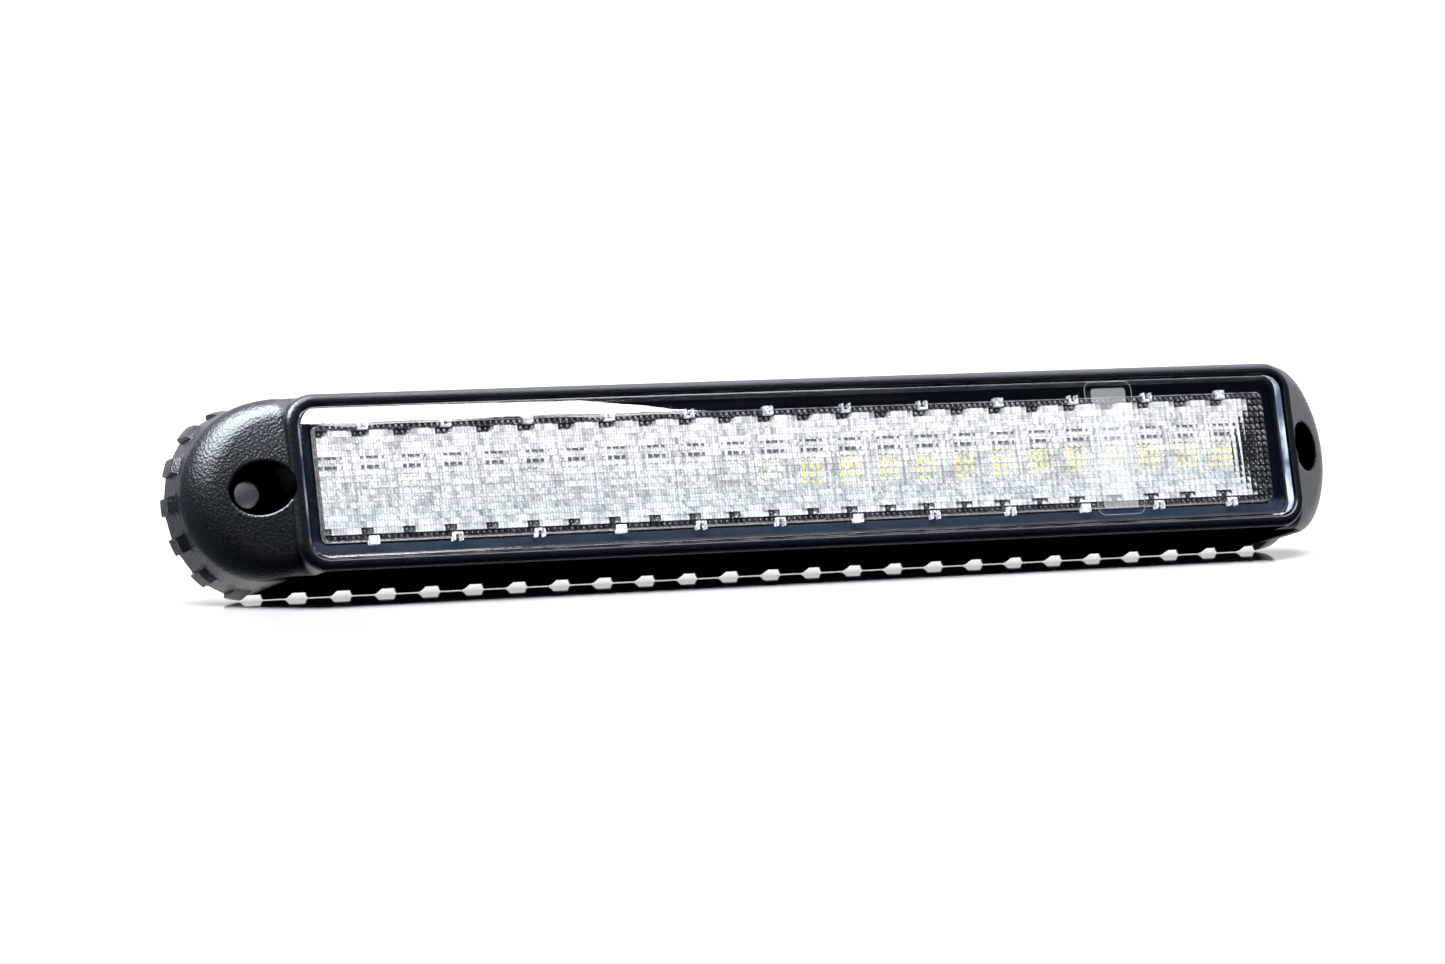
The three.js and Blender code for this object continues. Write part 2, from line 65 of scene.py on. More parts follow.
# Housing
FRONT = house_low.y
RIM_HALF_HEIGHT = house_high.z
RIM_END_RADIUS = 18.9
RIM_END_CENTRE = house_high.x - RIM_END_RADIUS
RIM_CORNER_RADIUS = 12.5
WALL_INSET = 0.94
RIM_BAND = 5.6
RIM_CHAMFER = 1.8
REAR_CHAMFER = 0.35
TEETH_PITCH = 8.59
STRAIGHT_GAPS = 25
END_GAPS = 6
GAP_TIP_HALF = 2.2
GAP_ROOT_HALF = 1.95
BEZEL_HALF_LENGTH = 103.0
BEZEL_HALF_HEIGHT = 15.6
BEZEL_CORNER = 5.5
BEZEL_EDGE = 1.4
WINDOW_HALF_LENGTH = lens_high.x + 0.3
WINDOW_HALF_HEIGHT = lens_high.z + 0.3
WINDOW_CORNER = 3.6
WINDOW_LIP = 0.35
DOME_START = FRONT + 0.9
DOME_SLOPE = 0.8
DOME_EDGE = 4.2
DOME_CROWN = 70.0
SCREW_X = 107.0
COUNTERBORE_RADIUS = 4.7
HOLE_LIP = 0.28
SCREW_HOLE_RADIUS = 2.35
SCREW_SEAT_Y = -12.35
SCREW_WEB = 1.5
BOSS_CORE_RADIUS = 3.0
BOSS_RADIUS = 6.7
SEAT_Y = -20.2
LEDGE_Y = -19.4
LEDGE_THICKNESS = 1.8
CAVITY_HALF_LENGTH = 98.6
CAVITY_HALF_HEIGHT = 12.6
COVER_GAP = 0.3
PAST = 1.0  # how far a cutter reaches past what it cuts

# Optics
OPTIC_HALF_LENGTH = optic_high.x
OPTIC_HALF_HEIGHT = 10.3
OPTIC_FRONT = -20.9
OPTIC_BACK = OPTIC_FRONT + 2.0
PRISM_PITCH = 8.0 / 7.0
PRISM_SAG_X = 0.1
PRISM_SAG_Z = 0.125
PRISM_STEPS = 5
TAB_PITCH = 16.0
TAB_COUNT = 12
TAB_WIDTH = 1.8
TAB_HEIGHT = 1.5
LED_COUNT = 24
LED_PITCH = 8.0
LED_BASE = -11.5
PHOSPHOR_HALF_WIDTH = 0.55
PHOSPHOR_HALF_HEIGHT = 1.0
LED_FRONT = node_box("led_01")[0].y
BOWL_RADIUS = 9.5
BOWL_THROAT = 2.4
BOWL_EDGE = 8.9
BOWL_LIFT = 0.3
BOWL_END = 95.2
# Height of the painted dark reflection above each LED
PAINTED_REFLECTION_Z = 4.4
PALE_LEDS_END = -8.0
YELLOW_LEDS_START = 2.0

# How the lamp stands: it leans back on its lower rear teeth
LEAN = math.radians(13.2)
STAND = Matrix.Rotation(LEAN, 4, "X")
CONTACT = Vector((0.0, -REAR_CHAMFER, -RIM_HALF_HEIGHT))
CONTACT_GAP = 0.1

# The camera, in the stand's frame: place in metres and angles in degrees
CAMERA_PLACE = (-0.52267, -0.97397, 0.07596)
CAMERA_TURN = -27.877
CAMERA_DOWN = 3.907
CAMERA_ROLL = -0.297
CAMERA_LENS = 150.58
SENSOR_WIDTH = 36.0

# How far the floor reaches forward and sideways, and back, in metres
FLOOR_REACH = 14.0
FLOOR_BACK = 3.0

# Light. A sun has an energy, a spread in degrees and the direction that it comes from.
OVERHEAD = (6.0, 50, (0.0, -0.12, 1.0))
SHEENS = {
    "sheen_left": (15.0, 46, (-0.6, 0.08, 0.8)),
    "sheen_top": (3.4, 80, (0.4, 0.0, 0.9)),
}
# Brightness of the room in front of the lamp and behind it, and the share left on its left
ROOM_FRONT = 0.03
ROOM_BACK = 1.08
ROOM_LEFT = 0.3
ROOM_TINT = (0.5, 0.7, 1.0, 1)
SOFTBOX_AWAY = 1.7
SOFTBOX_STRENGTH = 22.0
# X and Z on the lens, in millimetres, of the outline in which the lens mirrors the softbox
SOFTBOX_OUTLINE = (
    (-170, 10.3),
    (-21, 10.35),
    (-31, 11.0),
    (-41, 12.0),
    (-49, 13.2),
    (-57, 14.6),
    (-57, 190),
    (-170, 190),
)


# ------------------------------------------------------------------ meshes
def in_scene(name, data):
    """A new object in the scene, of a mesh, camera or light."""
    thing = bpy.data.objects.new(name, data)
    bpy.context.scene.collection.objects.link(thing)
    return thing


def new_object(name, vertices, faces):
    """A mesh object from millimetre coordinates, closed up and with its faces pointing out."""
    mesh = bpy.data.meshes.new(name)
    points = (np.asarray(vertices, float) * MM).tolist()
    mesh.from_pydata(points, [], [tuple(face) for face in faces])
    work = bmesh.new()
    work.from_mesh(mesh)
    bmesh.ops.remove_doubles(work, verts=work.verts, dist=1e-7)
    bmesh.ops.recalc_face_normals(work, faces=work.faces)
    work.to_mesh(mesh)
    work.free()
    return in_scene(name, mesh)


def discard(thing):
    """Removes an object and its mesh."""
    mesh = thing.data
    bpy.data.objects.remove(thing)
    bpy.data.meshes.remove(mesh)


def apply_modifiers(thing):
    """Puts the mesh that the modifiers make in the place of the object's own."""
    graph = bpy.context.evaluated_depsgraph_get()
    result = bpy.data.meshes.new_from_object(thing.evaluated_get(graph))
    old = thing.data
    thing.modifiers.clear()
    thing.data = result
    bpy.data.meshes.remove(old)


def combine(base, tools, operation):
    """Joins tools to base or cuts them from it, and removes the tools."""
    for tool in tools:
        step = base.modifiers.new(operation, "BOOLEAN")
        step.operation = operation
        step.solver = "MANIFOLD"
        step.object = tool
    apply_modifiers(base)
    for tool in tools:
        discard(tool)
    return base


def shade(thing, angle=32.0):
    """Smooth shading between sharp edges, weighted so that flat faces stay flat."""
    thing.data.shade_smooth()
    thing.data.set_sharp_from_angle(angle=math.radians(angle))
    step = thing.modifiers.new("weighted", "WEIGHTED_NORMAL")
    step.keep_sharp = True
    step.weight = 80
    apply_modifiers(thing)
    return thing


def piece(thing, slot, *materials, stands_for=()):
    """Gives a finished mesh its materials and body. The slot is not used."""
    thing.data.materials.clear()
    for material in materials:
        thing.data.materials.append(material)
    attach(thing, "root")
    if stands_for:
        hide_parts(*stands_for)
    return thing


def loft_faces(count, levels, first=0):
    """Faces of a closed solid whose loops, of count points each, follow each other."""
    faces = []
    for level in range(levels - 1):
        start = first + level * count
        for i in range(count):
            j = (i + 1) % count
            faces.append((start + i, start + j, start + count + j, start + count + i))
    last = first + (levels - 1) * count
    return [*faces, range(first, first + count), range(last, last + count)]


def loft(name, loops):
    """A closed solid through a row of loops with equal point counts."""
    return new_object(name, np.concatenate(loops), loft_faces(len(loops[0]), len(loops)))


def from_grid(name, grid_x, grid_y, grid_z, back_y):
    """A plate whose front is a grid of points and whose back is flat."""
    front = np.stack([grid_x, grid_y, grid_z], -1).reshape(-1, 3)
    columns, rows = grid_x.shape[0] - 1, grid_x.shape[1] - 1
    wide = rows + 1
    faces = []
    for i in range(columns):
        for j in range(rows):
            a = i * wide + j
            faces.append((a, a + 1, a + 1 + wide, a + wide))
    border = [i * wide for i in range(columns + 1)]
    border += [columns * wide + j for j in range(1, rows + 1)]
    border += [i * wide + rows for i in range(columns - 1, -1, -1)]
    border += range(rows - 1, 0, -1)
    back = front[border].copy()
    back[:, 1] = back_y
    start = len(front)
    for i, here in enumerate(border):
        k = (i + 1) % len(border)
        faces.append((here, border[k], start + k, start + i))
    faces.append(range(start, start + len(border)))
    return new_object(name, np.concatenate([front, back]), faces)


def at_depth(outline, y):
    """A flat outline of X and Z pairs placed at a depth."""
    outline = np.asarray(outline, float)
    return np.column_stack([outline[:, 0], np.full(len(outline), y), outline[:, 1]])


def layered(name, outline, levels):
    """A solid with one outline drawn at [inset, depth] levels."""
    return loft(name, [at_depth(outline(inset), y) for inset, y in levels])


def rounding(radius, steps=7):
    """[inset, depth] pairs of a rounded edge, from the face round to the side."""
    angles = np.linspace(0, math.pi / 2, steps + 1)
    return [(radius * (1 - math.sin(a)), radius * (1 - math.cos(a))) for a in angles]


def rounded_rectangle(half_length, half_height, corner, steps=10):
    """A function that gives the outline drawn smaller by an inset."""

    def outline(inset):
        radius = max(corner - inset, 0.05)
        x = half_length - inset - radius
        z = half_height - inset - radius
        points = []
        for quarter, (side, level) in enumerate(((1, 1), (-1, 1), (-1, -1), (1, -1))):
            for step in range(steps + 1):
                angle = (quarter + step / steps) * math.pi / 2
                points.append((
                    side * x + radius * math.cos(angle),
                    level * z + radius * math.sin(angle),
                ))
        return np.array(points)

    return outline


def turned(name, profile, x, segments=64):
    """A solid turned about a Y axis from [radius, y] pairs that start and end on the axis."""
    rings = []
    for radius, y in profile:
        angles = np.arange(segments) * (2 * math.pi / segments)
        ring = np.column_stack([
            x + radius * np.cos(angles),
            np.full(segments, y),
            radius * np.sin(angles),
        ])
        rings.append(ring)
    return loft(name, rings)


def ring_turned(name, profile, x, segments=96):
    """A ring turned about a Y axis from a closed profile of [radius, y] pairs."""
    count = len(profile)
    angles = np.arange(segments) * (2 * math.pi / segments)
    points = [
        (x + radius * math.cos(angle), y, radius * math.sin(angle))
        for angle in angles
        for radius, y in profile
    ]
    faces = []
    for i in range(segments):
        here = i * count
        there = (i + 1) % segments * count
        for j in range(count):
            k = (j + 1) % count
            faces.append((here + j, there + j, there + k, here + k))
    return new_object(name, points, faces)


def box_faces(start):
    """Faces of a box whose eight corners follow each other from start."""
    quads = ((0, 1, 2, 3), (4, 5, 6, 7), (0, 1, 5, 4), (1, 2, 6, 5), (2, 3, 7, 6), (3, 0, 4, 7))
    return [tuple(start + i for i in quad) for quad in quads]


def boxes(name, spans):
    """Separate boxes, each given by its lowest and highest corner."""
    points = []
    faces = []
    for low, high in spans:
        faces += box_faces(len(points))
        for y in (low[1], high[1]):
            points += [(low[0], y, low[2]), (high[0], y, low[2])]
            points += [(high[0], y, high[2]), (low[0], y, high[2])]
    return new_object(name, points, faces)


def moved(thing, degrees, axis, x, y=0.0):
    """Turns a mesh about an axis through the origin and then shifts it, in millimetres."""
    thing.data.transform(Matrix.Rotation(math.radians(degrees), 4, axis))
    thing.data.transform(Matrix.Translation(Vector((x, y, 0)) * MM))
    return thing


# ------------------------------------------------------------------ rim outline
corner_rise = RIM_HALF_HEIGHT - RIM_CORNER_RADIUS
corner_reach = math.sqrt((RIM_END_RADIUS - RIM_CORNER_RADIUS) ** 2 - corner_rise**2)
corner_centre = RIM_END_CENTRE + corner_reach
blend_angle = math.atan2(corner_rise, corner_reach)
end_arc = RIM_END_RADIUS * blend_angle
corner_arc = RIM_CORNER_RADIUS * (math.pi / 2 - blend_angle)
quarter_length = end_arc + corner_arc + corner_centre


def on_outline(distance):
    """Place and outward direction at a distance round the rim from the middle of the +X end."""
    turn = 4 * quarter_length
    along = distance % turn
    index = min(int(along // quarter_length), 3)
    rest = along - index * quarter_length
    if index % 2:
        rest = quarter_length - rest
    if rest <= end_arc:
        angle = rest / RIM_END_RADIUS
        out = np.array([math.cos(angle), math.sin(angle)])
        place = out * RIM_END_RADIUS + (RIM_END_CENTRE, 0)
    elif rest <= end_arc + corner_arc:
        angle = blend_angle + (rest - end_arc) / RIM_CORNER_RADIUS
        out = np.array([math.cos(angle), math.sin(angle)])
        place = out * RIM_CORNER_RADIUS + (corner_centre, corner_rise)
    else:
        out = np.array([0.0, 1.0])
        place = np.array([corner_centre - (rest - end_arc - corner_arc), RIM_HALF_HEIGHT])
    signs = np.array([-1 if index in (1, 2) else 1, -1 if index >= 2 else 1])
    return place * signs, out * signs


def rim_outline(inset, long_inset=None, steps=56):
    """The rim's outline drawn smaller by an inset, which may differ on the long sides."""
    if long_inset is None:
        long_inset = inset
    reach = end_arc + corner_arc
    stops = [
        side * 2 * quarter_length + (step / steps) * reach
        for side in range(2)
        for step in range(-steps, steps + 1)
    ]
    rows = []
    for stop in stops:
        place, out = on_outline(stop)
        on_long_side = out[1] ** 4
        rows.append(place - out * (inset + (long_inset - inset) * on_long_side))
    return np.array(rows)


def wall_reach(angle, inset=WALL_INSET):
    """Distance from the end arc's centre to the plain wall, at an angle from the length."""
    flat = abs(angle)
    if flat <= blend_angle:
        return RIM_END_RADIUS - inset
    radius = RIM_CORNER_RADIUS - inset
    across = corner_reach * math.cos(flat) + corner_rise * math.sin(flat)
    offset = corner_reach**2 + corner_rise**2 - radius**2
    on_arc = across + math.sqrt(across**2 - offset)
    if on_arc * math.cos(flat) >= corner_reach:
        return on_arc
    return (RIM_HALF_HEIGHT - inset) / math.sin(flat)


# ------------------------------------------------------------------ housing
def crown(z):
    """How far the front falls away above and below the middle."""
    return z * z / (2 * DOME_CROWN)


def dome_depth(x, z):
    """Depth of the sloping end's surface, with a soft lip round the screw recess."""
    depth = DOME_START + crown(z) + DOME_SLOPE * max(0.0, x - BEZEL_HALF_LENGTH)
    from_hole = math.hypot(x - SCREW_X, z) - COUNTERBORE_RADIUS
    if from_hole < HOLE_LIP:
        fall = HOLE_LIP - max(from_hole, 0.0)
        depth += HOLE_LIP - math.sqrt(HOLE_LIP**2 - fall**2)
    return depth


def sloping_end(side):
    """One end as a fan of radial rows from the arc's centre out to the wall."""
    stations = 150
    inner_steps = 52
    rows = []
    for i in range(stations + 1):
        angle = (i / stations - 0.5) * math.pi
        reach = wall_reach(angle)
        inner = reach - DOME_EDGE
        spots = [(inner * k / inner_steps, 0.0) for k in range(inner_steps)]
        spots += [(reach - inset, drop) for inset, drop in rounding(DOME_EDGE, 12)]
        row = []
        for radius, drop in spots:
            x = RIM_END_CENTRE + radius * math.cos(angle)
            z = radius * math.sin(angle)
            row.append((side * x, dome_depth(x, z) + drop, z))
        wall_x, _, wall_z = row[-1]
        row.append((wall_x, 0.0, wall_z))
        row.append((side * RIM_END_CENTRE, 0.0, 0.0))
        rows.append(row)
    width = len(rows[0])
    faces = []
    for i in range(stations):
        for j in range(width - 1):
            a = i * width + j
            b = a + width
            faces.append((a, b, b + 1, a + 1))
    faces.append(range(width))
    faces.append(range(stations * width, (stations + 1) * width))
    return new_object("end", [point for row in rows for point in row], faces)


def middle_body():
    """The straight stretch between the two ends, with the same rounded front edges."""
    half = RIM_END_CENTRE + 0.4
    top = RIM_HALF_HEIGHT - WALL_INSET
    upper = [(drop, top - inset) for inset, drop in rounding(DOME_EDGE, 12)][::-1]
    flat = [(0.0, z) for z in np.linspace(top - DOME_EDGE, DOME_EDGE - top, 25)[1:-1]]
    lower = [(drop, -z) for drop, z in upper[::-1]]
    front = [(DOME_START + drop + crown(z), z) for drop, z in upper + flat + lower]
    section = [(0.0, -top), (0.0, top), *front]
    loops = [np.array([(x, y, z) for y, z in section]) for x in (-half, half)]
    return loft("middle", loops)


def gap_cutters():
    """Trapezoid cutters for the gaps between teeth."""
    above = 0.9
    slope = (GAP_TIP_HALF - GAP_ROOT_HALF) / WALL_INSET
    profile = [
        (GAP_ROOT_HALF, -WALL_INSET - 0.02),
        (GAP_TIP_HALF, 0.0),
        (GAP_TIP_HALF + above * slope, above),
    ]
    section = [(-width, height) for width, height in profile] + profile[::-1]
    end_span = 2 * (quarter_length - (STRAIGHT_GAPS - 1) / 2 * TEETH_PITCH)
    stops = []
    for side in range(2):
        middle = (1 + 2 * side) * quarter_length
        end_middle = 2 * side * quarter_length
        stops += [
            middle + (k - (STRAIGHT_GAPS - 1) / 2) * TEETH_PITCH for k in range(STRAIGHT_GAPS)
        ]
        stops += [
            end_middle + (k - (END_GAPS - 1) / 2) * end_span / (END_GAPS + 1)
            for k in range(END_GAPS)
        ]
    points = []
    faces = []
    for stop in stops:
        place, out = on_outline(stop)
        along = np.array([-out[1], out[0]])
        faces += loft_faces(len(section), 2, len(points))
        for y in (-RIM_BAND - PAST, PAST):
            for width, height in section:
                x, z = place + along * width + out * height
                points.append((x, y, z))
    return new_object("gaps", points, faces)


def toothed_rim():
    """The rear band. Its front slopes steeply round the ends and gently on the long sides."""
    chamfer_end = RIM_CHAMFER - RIM_BAND
    flat_start = -1.5
    levels = [
        (WALL_INSET + 0.4, WALL_INSET + 0.4, -RIM_BAND - 0.5),
        (WALL_INSET - 0.02, WALL_INSET - 0.02, -RIM_BAND),
        (0.09, 0.55, chamfer_end - 0.12),
        (0.02, 0.52, chamfer_end + 0.05),
        (0.0, 0.46, chamfer_end + 0.25),
        (0.0, 0.0, flat_start),
        (0.0, 0.0, -REAR_CHAMFER),
        (REAR_CHAMFER, REAR_CHAMFER, 0.0),
    ]
    loops = [at_depth(rim_outline(inset, long), y) for inset, long, y in levels]
    return combine(loft("rim", loops), [gap_cutters()], "DIFFERENCE")


def screw_recess(side):
    """Counterbore from the front, the screw hole and the hollow behind it."""
    web_back = SCREW_SEAT_Y + SCREW_WEB
    chamfer = 0.25
    profile = [
        (COUNTERBORE_RADIUS + 0.02, FRONT - PAST),
        (COUNTERBORE_RADIUS, FRONT),
        (COUNTERBORE_RADIUS - 0.15, SCREW_SEAT_Y - 0.3),
        (COUNTERBORE_RADIUS - 0.4, SCREW_SEAT_Y),
        (SCREW_HOLE_RADIUS + chamfer, SCREW_SEAT_Y),
        (SCREW_HOLE_RADIUS, SCREW_SEAT_Y + chamfer),
        (SCREW_HOLE_RADIUS, web_back),
        (BOSS_CORE_RADIUS, web_back),
        (BOSS_CORE_RADIUS, -chamfer),
        (BOSS_CORE_RADIUS + chamfer + PAST, PAST),
    ]
    return turned("recess", profile, side * SCREW_X, 72)


def rear_pockets(side):
    """Moulding pockets behind one end: the end's inside, less the boss and three ribs."""
    wall = 2.4
    rib = 1.6
    deepest = -14.0
    wide = 60.0
    start = RIM_END_CENTRE + 2
    inside = layered("pocket", rim_outline, [
        (WALL_INSET + wall + 0.5, deepest),
        (WALL_INSET + wall, deepest + 0.5),
        (WALL_INSET + wall - 0.1, PAST),
    ])
    x_low, x_high = sorted((side * start, side * (start + wide)))
    zone = boxes("zone", [((x_low, -wide, -wide), (x_high, wide, wide))])
    lean = math.degrees(math.atan(DOME_SLOPE))
    depth = DOME_START + wall * math.hypot(1, DOME_SLOPE)
    limit = boxes("limit", [((-wide, 0, -wide), (wide, wide, wide))])
    moved(limit, side * lean, "Z", side * BEZEL_HALF_LENGTH, depth)
    combine(inside, [zone, limit], "INTERSECT")
    ends = [(0.01, deepest - PAST), (BOSS_RADIUS, deepest - PAST), (BOSS_RADIUS, 2 * PAST)]
    boss = turned("boss", [*ends, (0.01, 2 * PAST)], side * SCREW_X, 64)
    keep = [boss]
    for angle in (-60, 0, 60):
        web = boxes("rib", [((0, -wide / 2, -rib / 2), (wide / 2, wide / 2, rib / 2))])
        turn = angle if side > 0 else 180 + angle
        keep.append(moved(web, turn, "Y", side * SCREW_X))
    return combine(inside, keep, "DIFFERENCE")


def housing_solid():
    """The housing: two ends, the middle, the bezel and the rim, less every opening."""
    bezel_outline = rounded_rectangle(BEZEL_HALF_LENGTH, BEZEL_HALF_HEIGHT, BEZEL_CORNER, 16)
    bezel_levels = [(inset, FRONT + drop) for inset, drop in rounding(BEZEL_EDGE, 8)]
    bezel_back = DOME_START + DOME_EDGE + 2.4
    bezel = layered("bezel", bezel_outline, [*bezel_levels, (0.0, bezel_back)])
    body = combine(middle_body(), [sloping_end(-1), sloping_end(1), bezel, toothed_rim()], "UNION")

    window_outline = rounded_rectangle(WINDOW_HALF_LENGTH, WINDOW_HALF_HEIGHT, WINDOW_CORNER, 12)
    lip = [(inset - WINDOW_LIP, FRONT + drop) for inset, drop in rounding(WINDOW_LIP, 5)]
    mouth = [(-WINDOW_LIP - 0.05, FRONT - PAST), *[(-i - WINDOW_LIP, y) for i, y in lip]]
    window = layered("window", window_outline, [*mouth, (0.0, SEAT_Y)])
    optic_pocket = rounded_rectangle(OPTIC_HALF_LENGTH + 2.4, OPTIC_HALF_HEIGHT + 1.9, 3)
    opening = rounded_rectangle(OPTIC_HALF_LENGTH + 0.5, OPTIC_HALF_HEIGHT + 0.4, 1.5)
    cavity = rounded_rectangle(CAVITY_HALF_LENGTH, CAVITY_HALF_HEIGHT, 3)
    rebate = rounded_rectangle(cover_high.x + COVER_GAP, cover_high.z + COVER_GAP, 3.5)
    ledge_back = LEDGE_Y + LEDGE_THICKNESS
    cuts = [
        window,
        layered("pocket", optic_pocket, [(0, SEAT_Y - PAST), (0, LEDGE_Y)]),
        layered("opening", opening, [(0, LEDGE_Y - PAST), (0, ledge_back + PAST)]),
        layered("cavity", cavity, [(0, ledge_back), (0, PAST)]),
        layered("rebate", rebate, [
            (0, cover_low.y - COVER_GAP),
            (0, -COVER_GAP),
            (-PAST, PAST - COVER_GAP),
        ]),
        screw_recess(-1),
        screw_recess(1),
        rear_pockets(-1),
        rear_pockets(1),
    ]
    body = combine(body, cuts, "DIFFERENCE")
    body.name = "housing_shell"
    return shade(body)


# ------------------------------------------------------------------ node materials
class Nodes:
    """A new material and short ways to add and link its nodes."""

    def __init__(self, name):
        self.material = bpy.data.materials.new(name)
        self.material.use_nodes = True
        self.tree = self.material.node_tree
        self.tree.nodes.clear()
        self.output = self.tree.nodes.new("ShaderNodeOutputMaterial")
        self.place = self.tree.nodes.new("ShaderNodeNewGeometry").outputs["Position"]

    def set(self, socket, value):
        if isinstance(value, bpy.types.NodeSocket):
            self.tree.links.new(value, socket)
        else:
            socket.default_value = value

    def add(self, kind, inputs=None, **settings):
        node = self.tree.nodes.new(kind)
        for name, value in settings.items():
            setattr(node, name, value)
        for name, value in (inputs or {}).items():
            self.set(node.inputs[name], value)
        return node

    def noise(self, size, detail=2.0, stretch=(1, 1, 1), roughness=0.5):
        """Noise whose lumps are about size millimetres across."""
        scaled = self.add("ShaderNodeVectorMath", {0: self.place, 1: stretch}, operation="MULTIPLY")
        inputs = {
            "Vector": scaled.outputs[0],
            "Scale": 1 / (size * MM),
            "Detail": detail,
            "Roughness": roughness,
        }
        return self.add("ShaderNodeTexNoise", inputs).outputs["Fac"]

    def cells(self, size):
        """Distance to the middles of random cells about size millimetres across."""
        inputs = {"Vector": self.place, "Scale": 1 / (size * MM)}
        return self.add("ShaderNodeTexVoronoi", inputs).outputs["Distance"]

    def math(self, operation, a, b=0.0):
        return self.add("ShaderNodeMath", {0: a, 1: b}, operation=operation).outputs[0]

    def size_of(self, value):
        """The value without its sign."""
        return self.math("ABSOLUTE", value)

    def product(self, first, *others):
        result = first
        for value in others:
            result = self.math("MULTIPLY", result, value)
        return result

    def distance(self, a, b):
        """Length of the flat vector a, b."""
        return self.math("SQRT", self.math("ADD", self.product(a, a), self.product(b, b)))

    def ramp(self, value, low, high, start=0.0, end=1.0):
        """Value mapped smoothly from low..high to start..end."""
        inputs = {
            "Value": value,
            "From Min": low,
            "From Max": high,
            "To Min": start,
            "To Max": end,
        }
        node = self.add("ShaderNodeMapRange", inputs, interpolation_type="SMOOTHSTEP")
        return node.outputs[0]

    def fall(self, value, low, high):
        """One below low, nought above high, and smooth between."""
        return self.ramp(value, low, high, 1.0, 0.0)

    def axis(self, index):
        """One coordinate of the place, in millimetres."""
        split = self.add("ShaderNodeSeparateXYZ", {0: self.place})
        return self.product(split.outputs[index], 1 / MM)

    def colour(self, factor, first, second):
        """A blend of two colours, each a triple or the output of another node."""
        node = self.tree.nodes.new("ShaderNodeMix")
        node.data_type = "RGBA"
        self.set(node.inputs[0], factor)
        for index, value in ((6, first), (7, second)):
            linked = isinstance(value, bpy.types.NodeSocket)
            self.set(node.inputs[index], value if linked else (*value, 1))
        return node.outputs[2]

    def bump(self, height, depth, strength=1.0):
        """Bump with its depth in millimetres."""
        inputs = {"Height": height, "Distance": depth * MM, "Strength": strength}
        return self.add("ShaderNodeBump", inputs).outputs["Normal"]

    def shader(self, kind, **inputs):
        """The output of a plain shader node."""
        return self.add("ShaderNodeBsdf" + kind, inputs).outputs[0]

    def light_ray(self, kind):
        """One where the ray is of the kind named, and nought elsewhere."""
        return self.add("ShaderNodeLightPath").outputs[f"Is {kind} Ray"]

    def surface(self, inputs):
        shader = self.add("ShaderNodeBsdfPrincipled", inputs).outputs[0]
        self.tree.links.new(shader, self.output.inputs["Surface"])

    def mix_surface(self, factor, first, second):
        shader = self.add("ShaderNodeMixShader", {0: factor, 1: first, 2: second}).outputs[0]
        self.tree.links.new(shader, self.output.inputs["Surface"])
        return shader


def black_plastic():
    """Spark-eroded grain, deepest on the two ends and faint in the recesses, with painted glints.
    The screw recesses and the lower wall are painted nearly black as shade, the pocket behind the
    lens is painted dark navy as shade, and its lower margin is painted bluish and lighter where
    light falls."""
    n = Nodes("black_plastic")
    x = n.size_of(n.axis(0))
    y = n.axis(1)
    z = n.size_of(n.axis(2))
    on_end = n.ramp(x, BEZEL_HALF_LENGTH - 0.1, BEZEL_HALF_LENGTH + 0.3, 0.6, 1.0)
    ledge_back = LEDGE_Y + LEDGE_THICKNESS
    behind_lens = n.product(
        n.ramp(y, lens_low.y - 0.2, lens_low.y + 0.1),
        n.fall(y, ledge_back + 0.5, ledge_back + 1.0),
        n.fall(x, WINDOW_HALF_LENGTH + 0.1, WINDOW_HALF_LENGTH + 0.3),
        n.fall(z, WINDOW_HALF_HEIGHT + 0.1, WINDOW_HALF_HEIGHT + 0.3),
    )
    from_screw = n.distance(n.math("SUBTRACT", x, SCREW_X), z)
    in_recess = n.product(
        n.fall(from_screw, COUNTERBORE_RADIUS + 0.02, COUNTERBORE_RADIUS + 0.08),
        n.fall(y, SCREW_SEAT_Y + 0.3, SCREW_SEAT_Y + 0.6),
    )
    underside = n.product(
        n.fall(n.axis(2), 0.05 - BEZEL_HALF_HEIGHT, 0.25 - BEZEL_HALF_HEIGHT),
        n.fall(x, RIM_END_CENTRE + 3.0, RIM_END_CENTRE + 12.0),
        n.fall(y, -0.6, -0.4),
    )
    hidden = n.math("MAXIMUM", behind_lens, in_recess)
    fine = n.noise(0.45, 3.0, roughness=0.65)
    grain = n.math("ADD", fine, n.cells(0.5))
    amount = n.product(on_end, n.ramp(hidden, 0.0, 1.0, 1.0, 0.2))
    # Painted glints: small specks on the grain are painted lighter in the base colour, as sparkle
    # of light.
    painted_glint = n.product(n.ramp(fine, 0.5, 0.64), amount)
    patches = n.noise(6.0, 2.0)
    plain = n.colour(patches, (0.006, 0.0075, 0.012), (0.009, 0.011, 0.017))
    outside = n.colour(painted_glint, plain, (0.03, 0.033, 0.044))
    # Painted shade and light behind the lens: the pocket is painted dark navy as shade and a dim
    # reflection, and its lower margin is painted bluish and lighter where light falls on it.
    painted_light_bottom = n.ramp(n.axis(2), -9.5, -10.5)
    margin = n.colour(painted_light_bottom, (0.001, 0.003, 0.008), (0.026, 0.036, 0.056))
    colour = n.colour(behind_lens, outside, margin)
    # Painted shade: the screw recesses and the lower wall are painted nearly black, and their gloss
    # is cut as well.
    colour = n.colour(n.math("MAXIMUM", in_recess, underside), colour, (0.001, 0.001, 0.0015))
    gloss_cut_in_shade = n.math("MAXIMUM", n.product(hidden, 0.8), underside)
    inputs = {
        "Base Color": colour,
        "Roughness": n.ramp(hidden, 0.0, 1.0, 0.3, 0.25),
        "IOR": 1.5,
        "Specular IOR Level": n.ramp(gloss_cut_in_shade, 0.0, 1.0, 0.45, 0.0),
        "Specular Tint": (0.82, 0.9, 1.0, 1),
        "Normal": n.bump(grain, 0.05, amount),
    }
    n.surface(inputs)
    return n.material


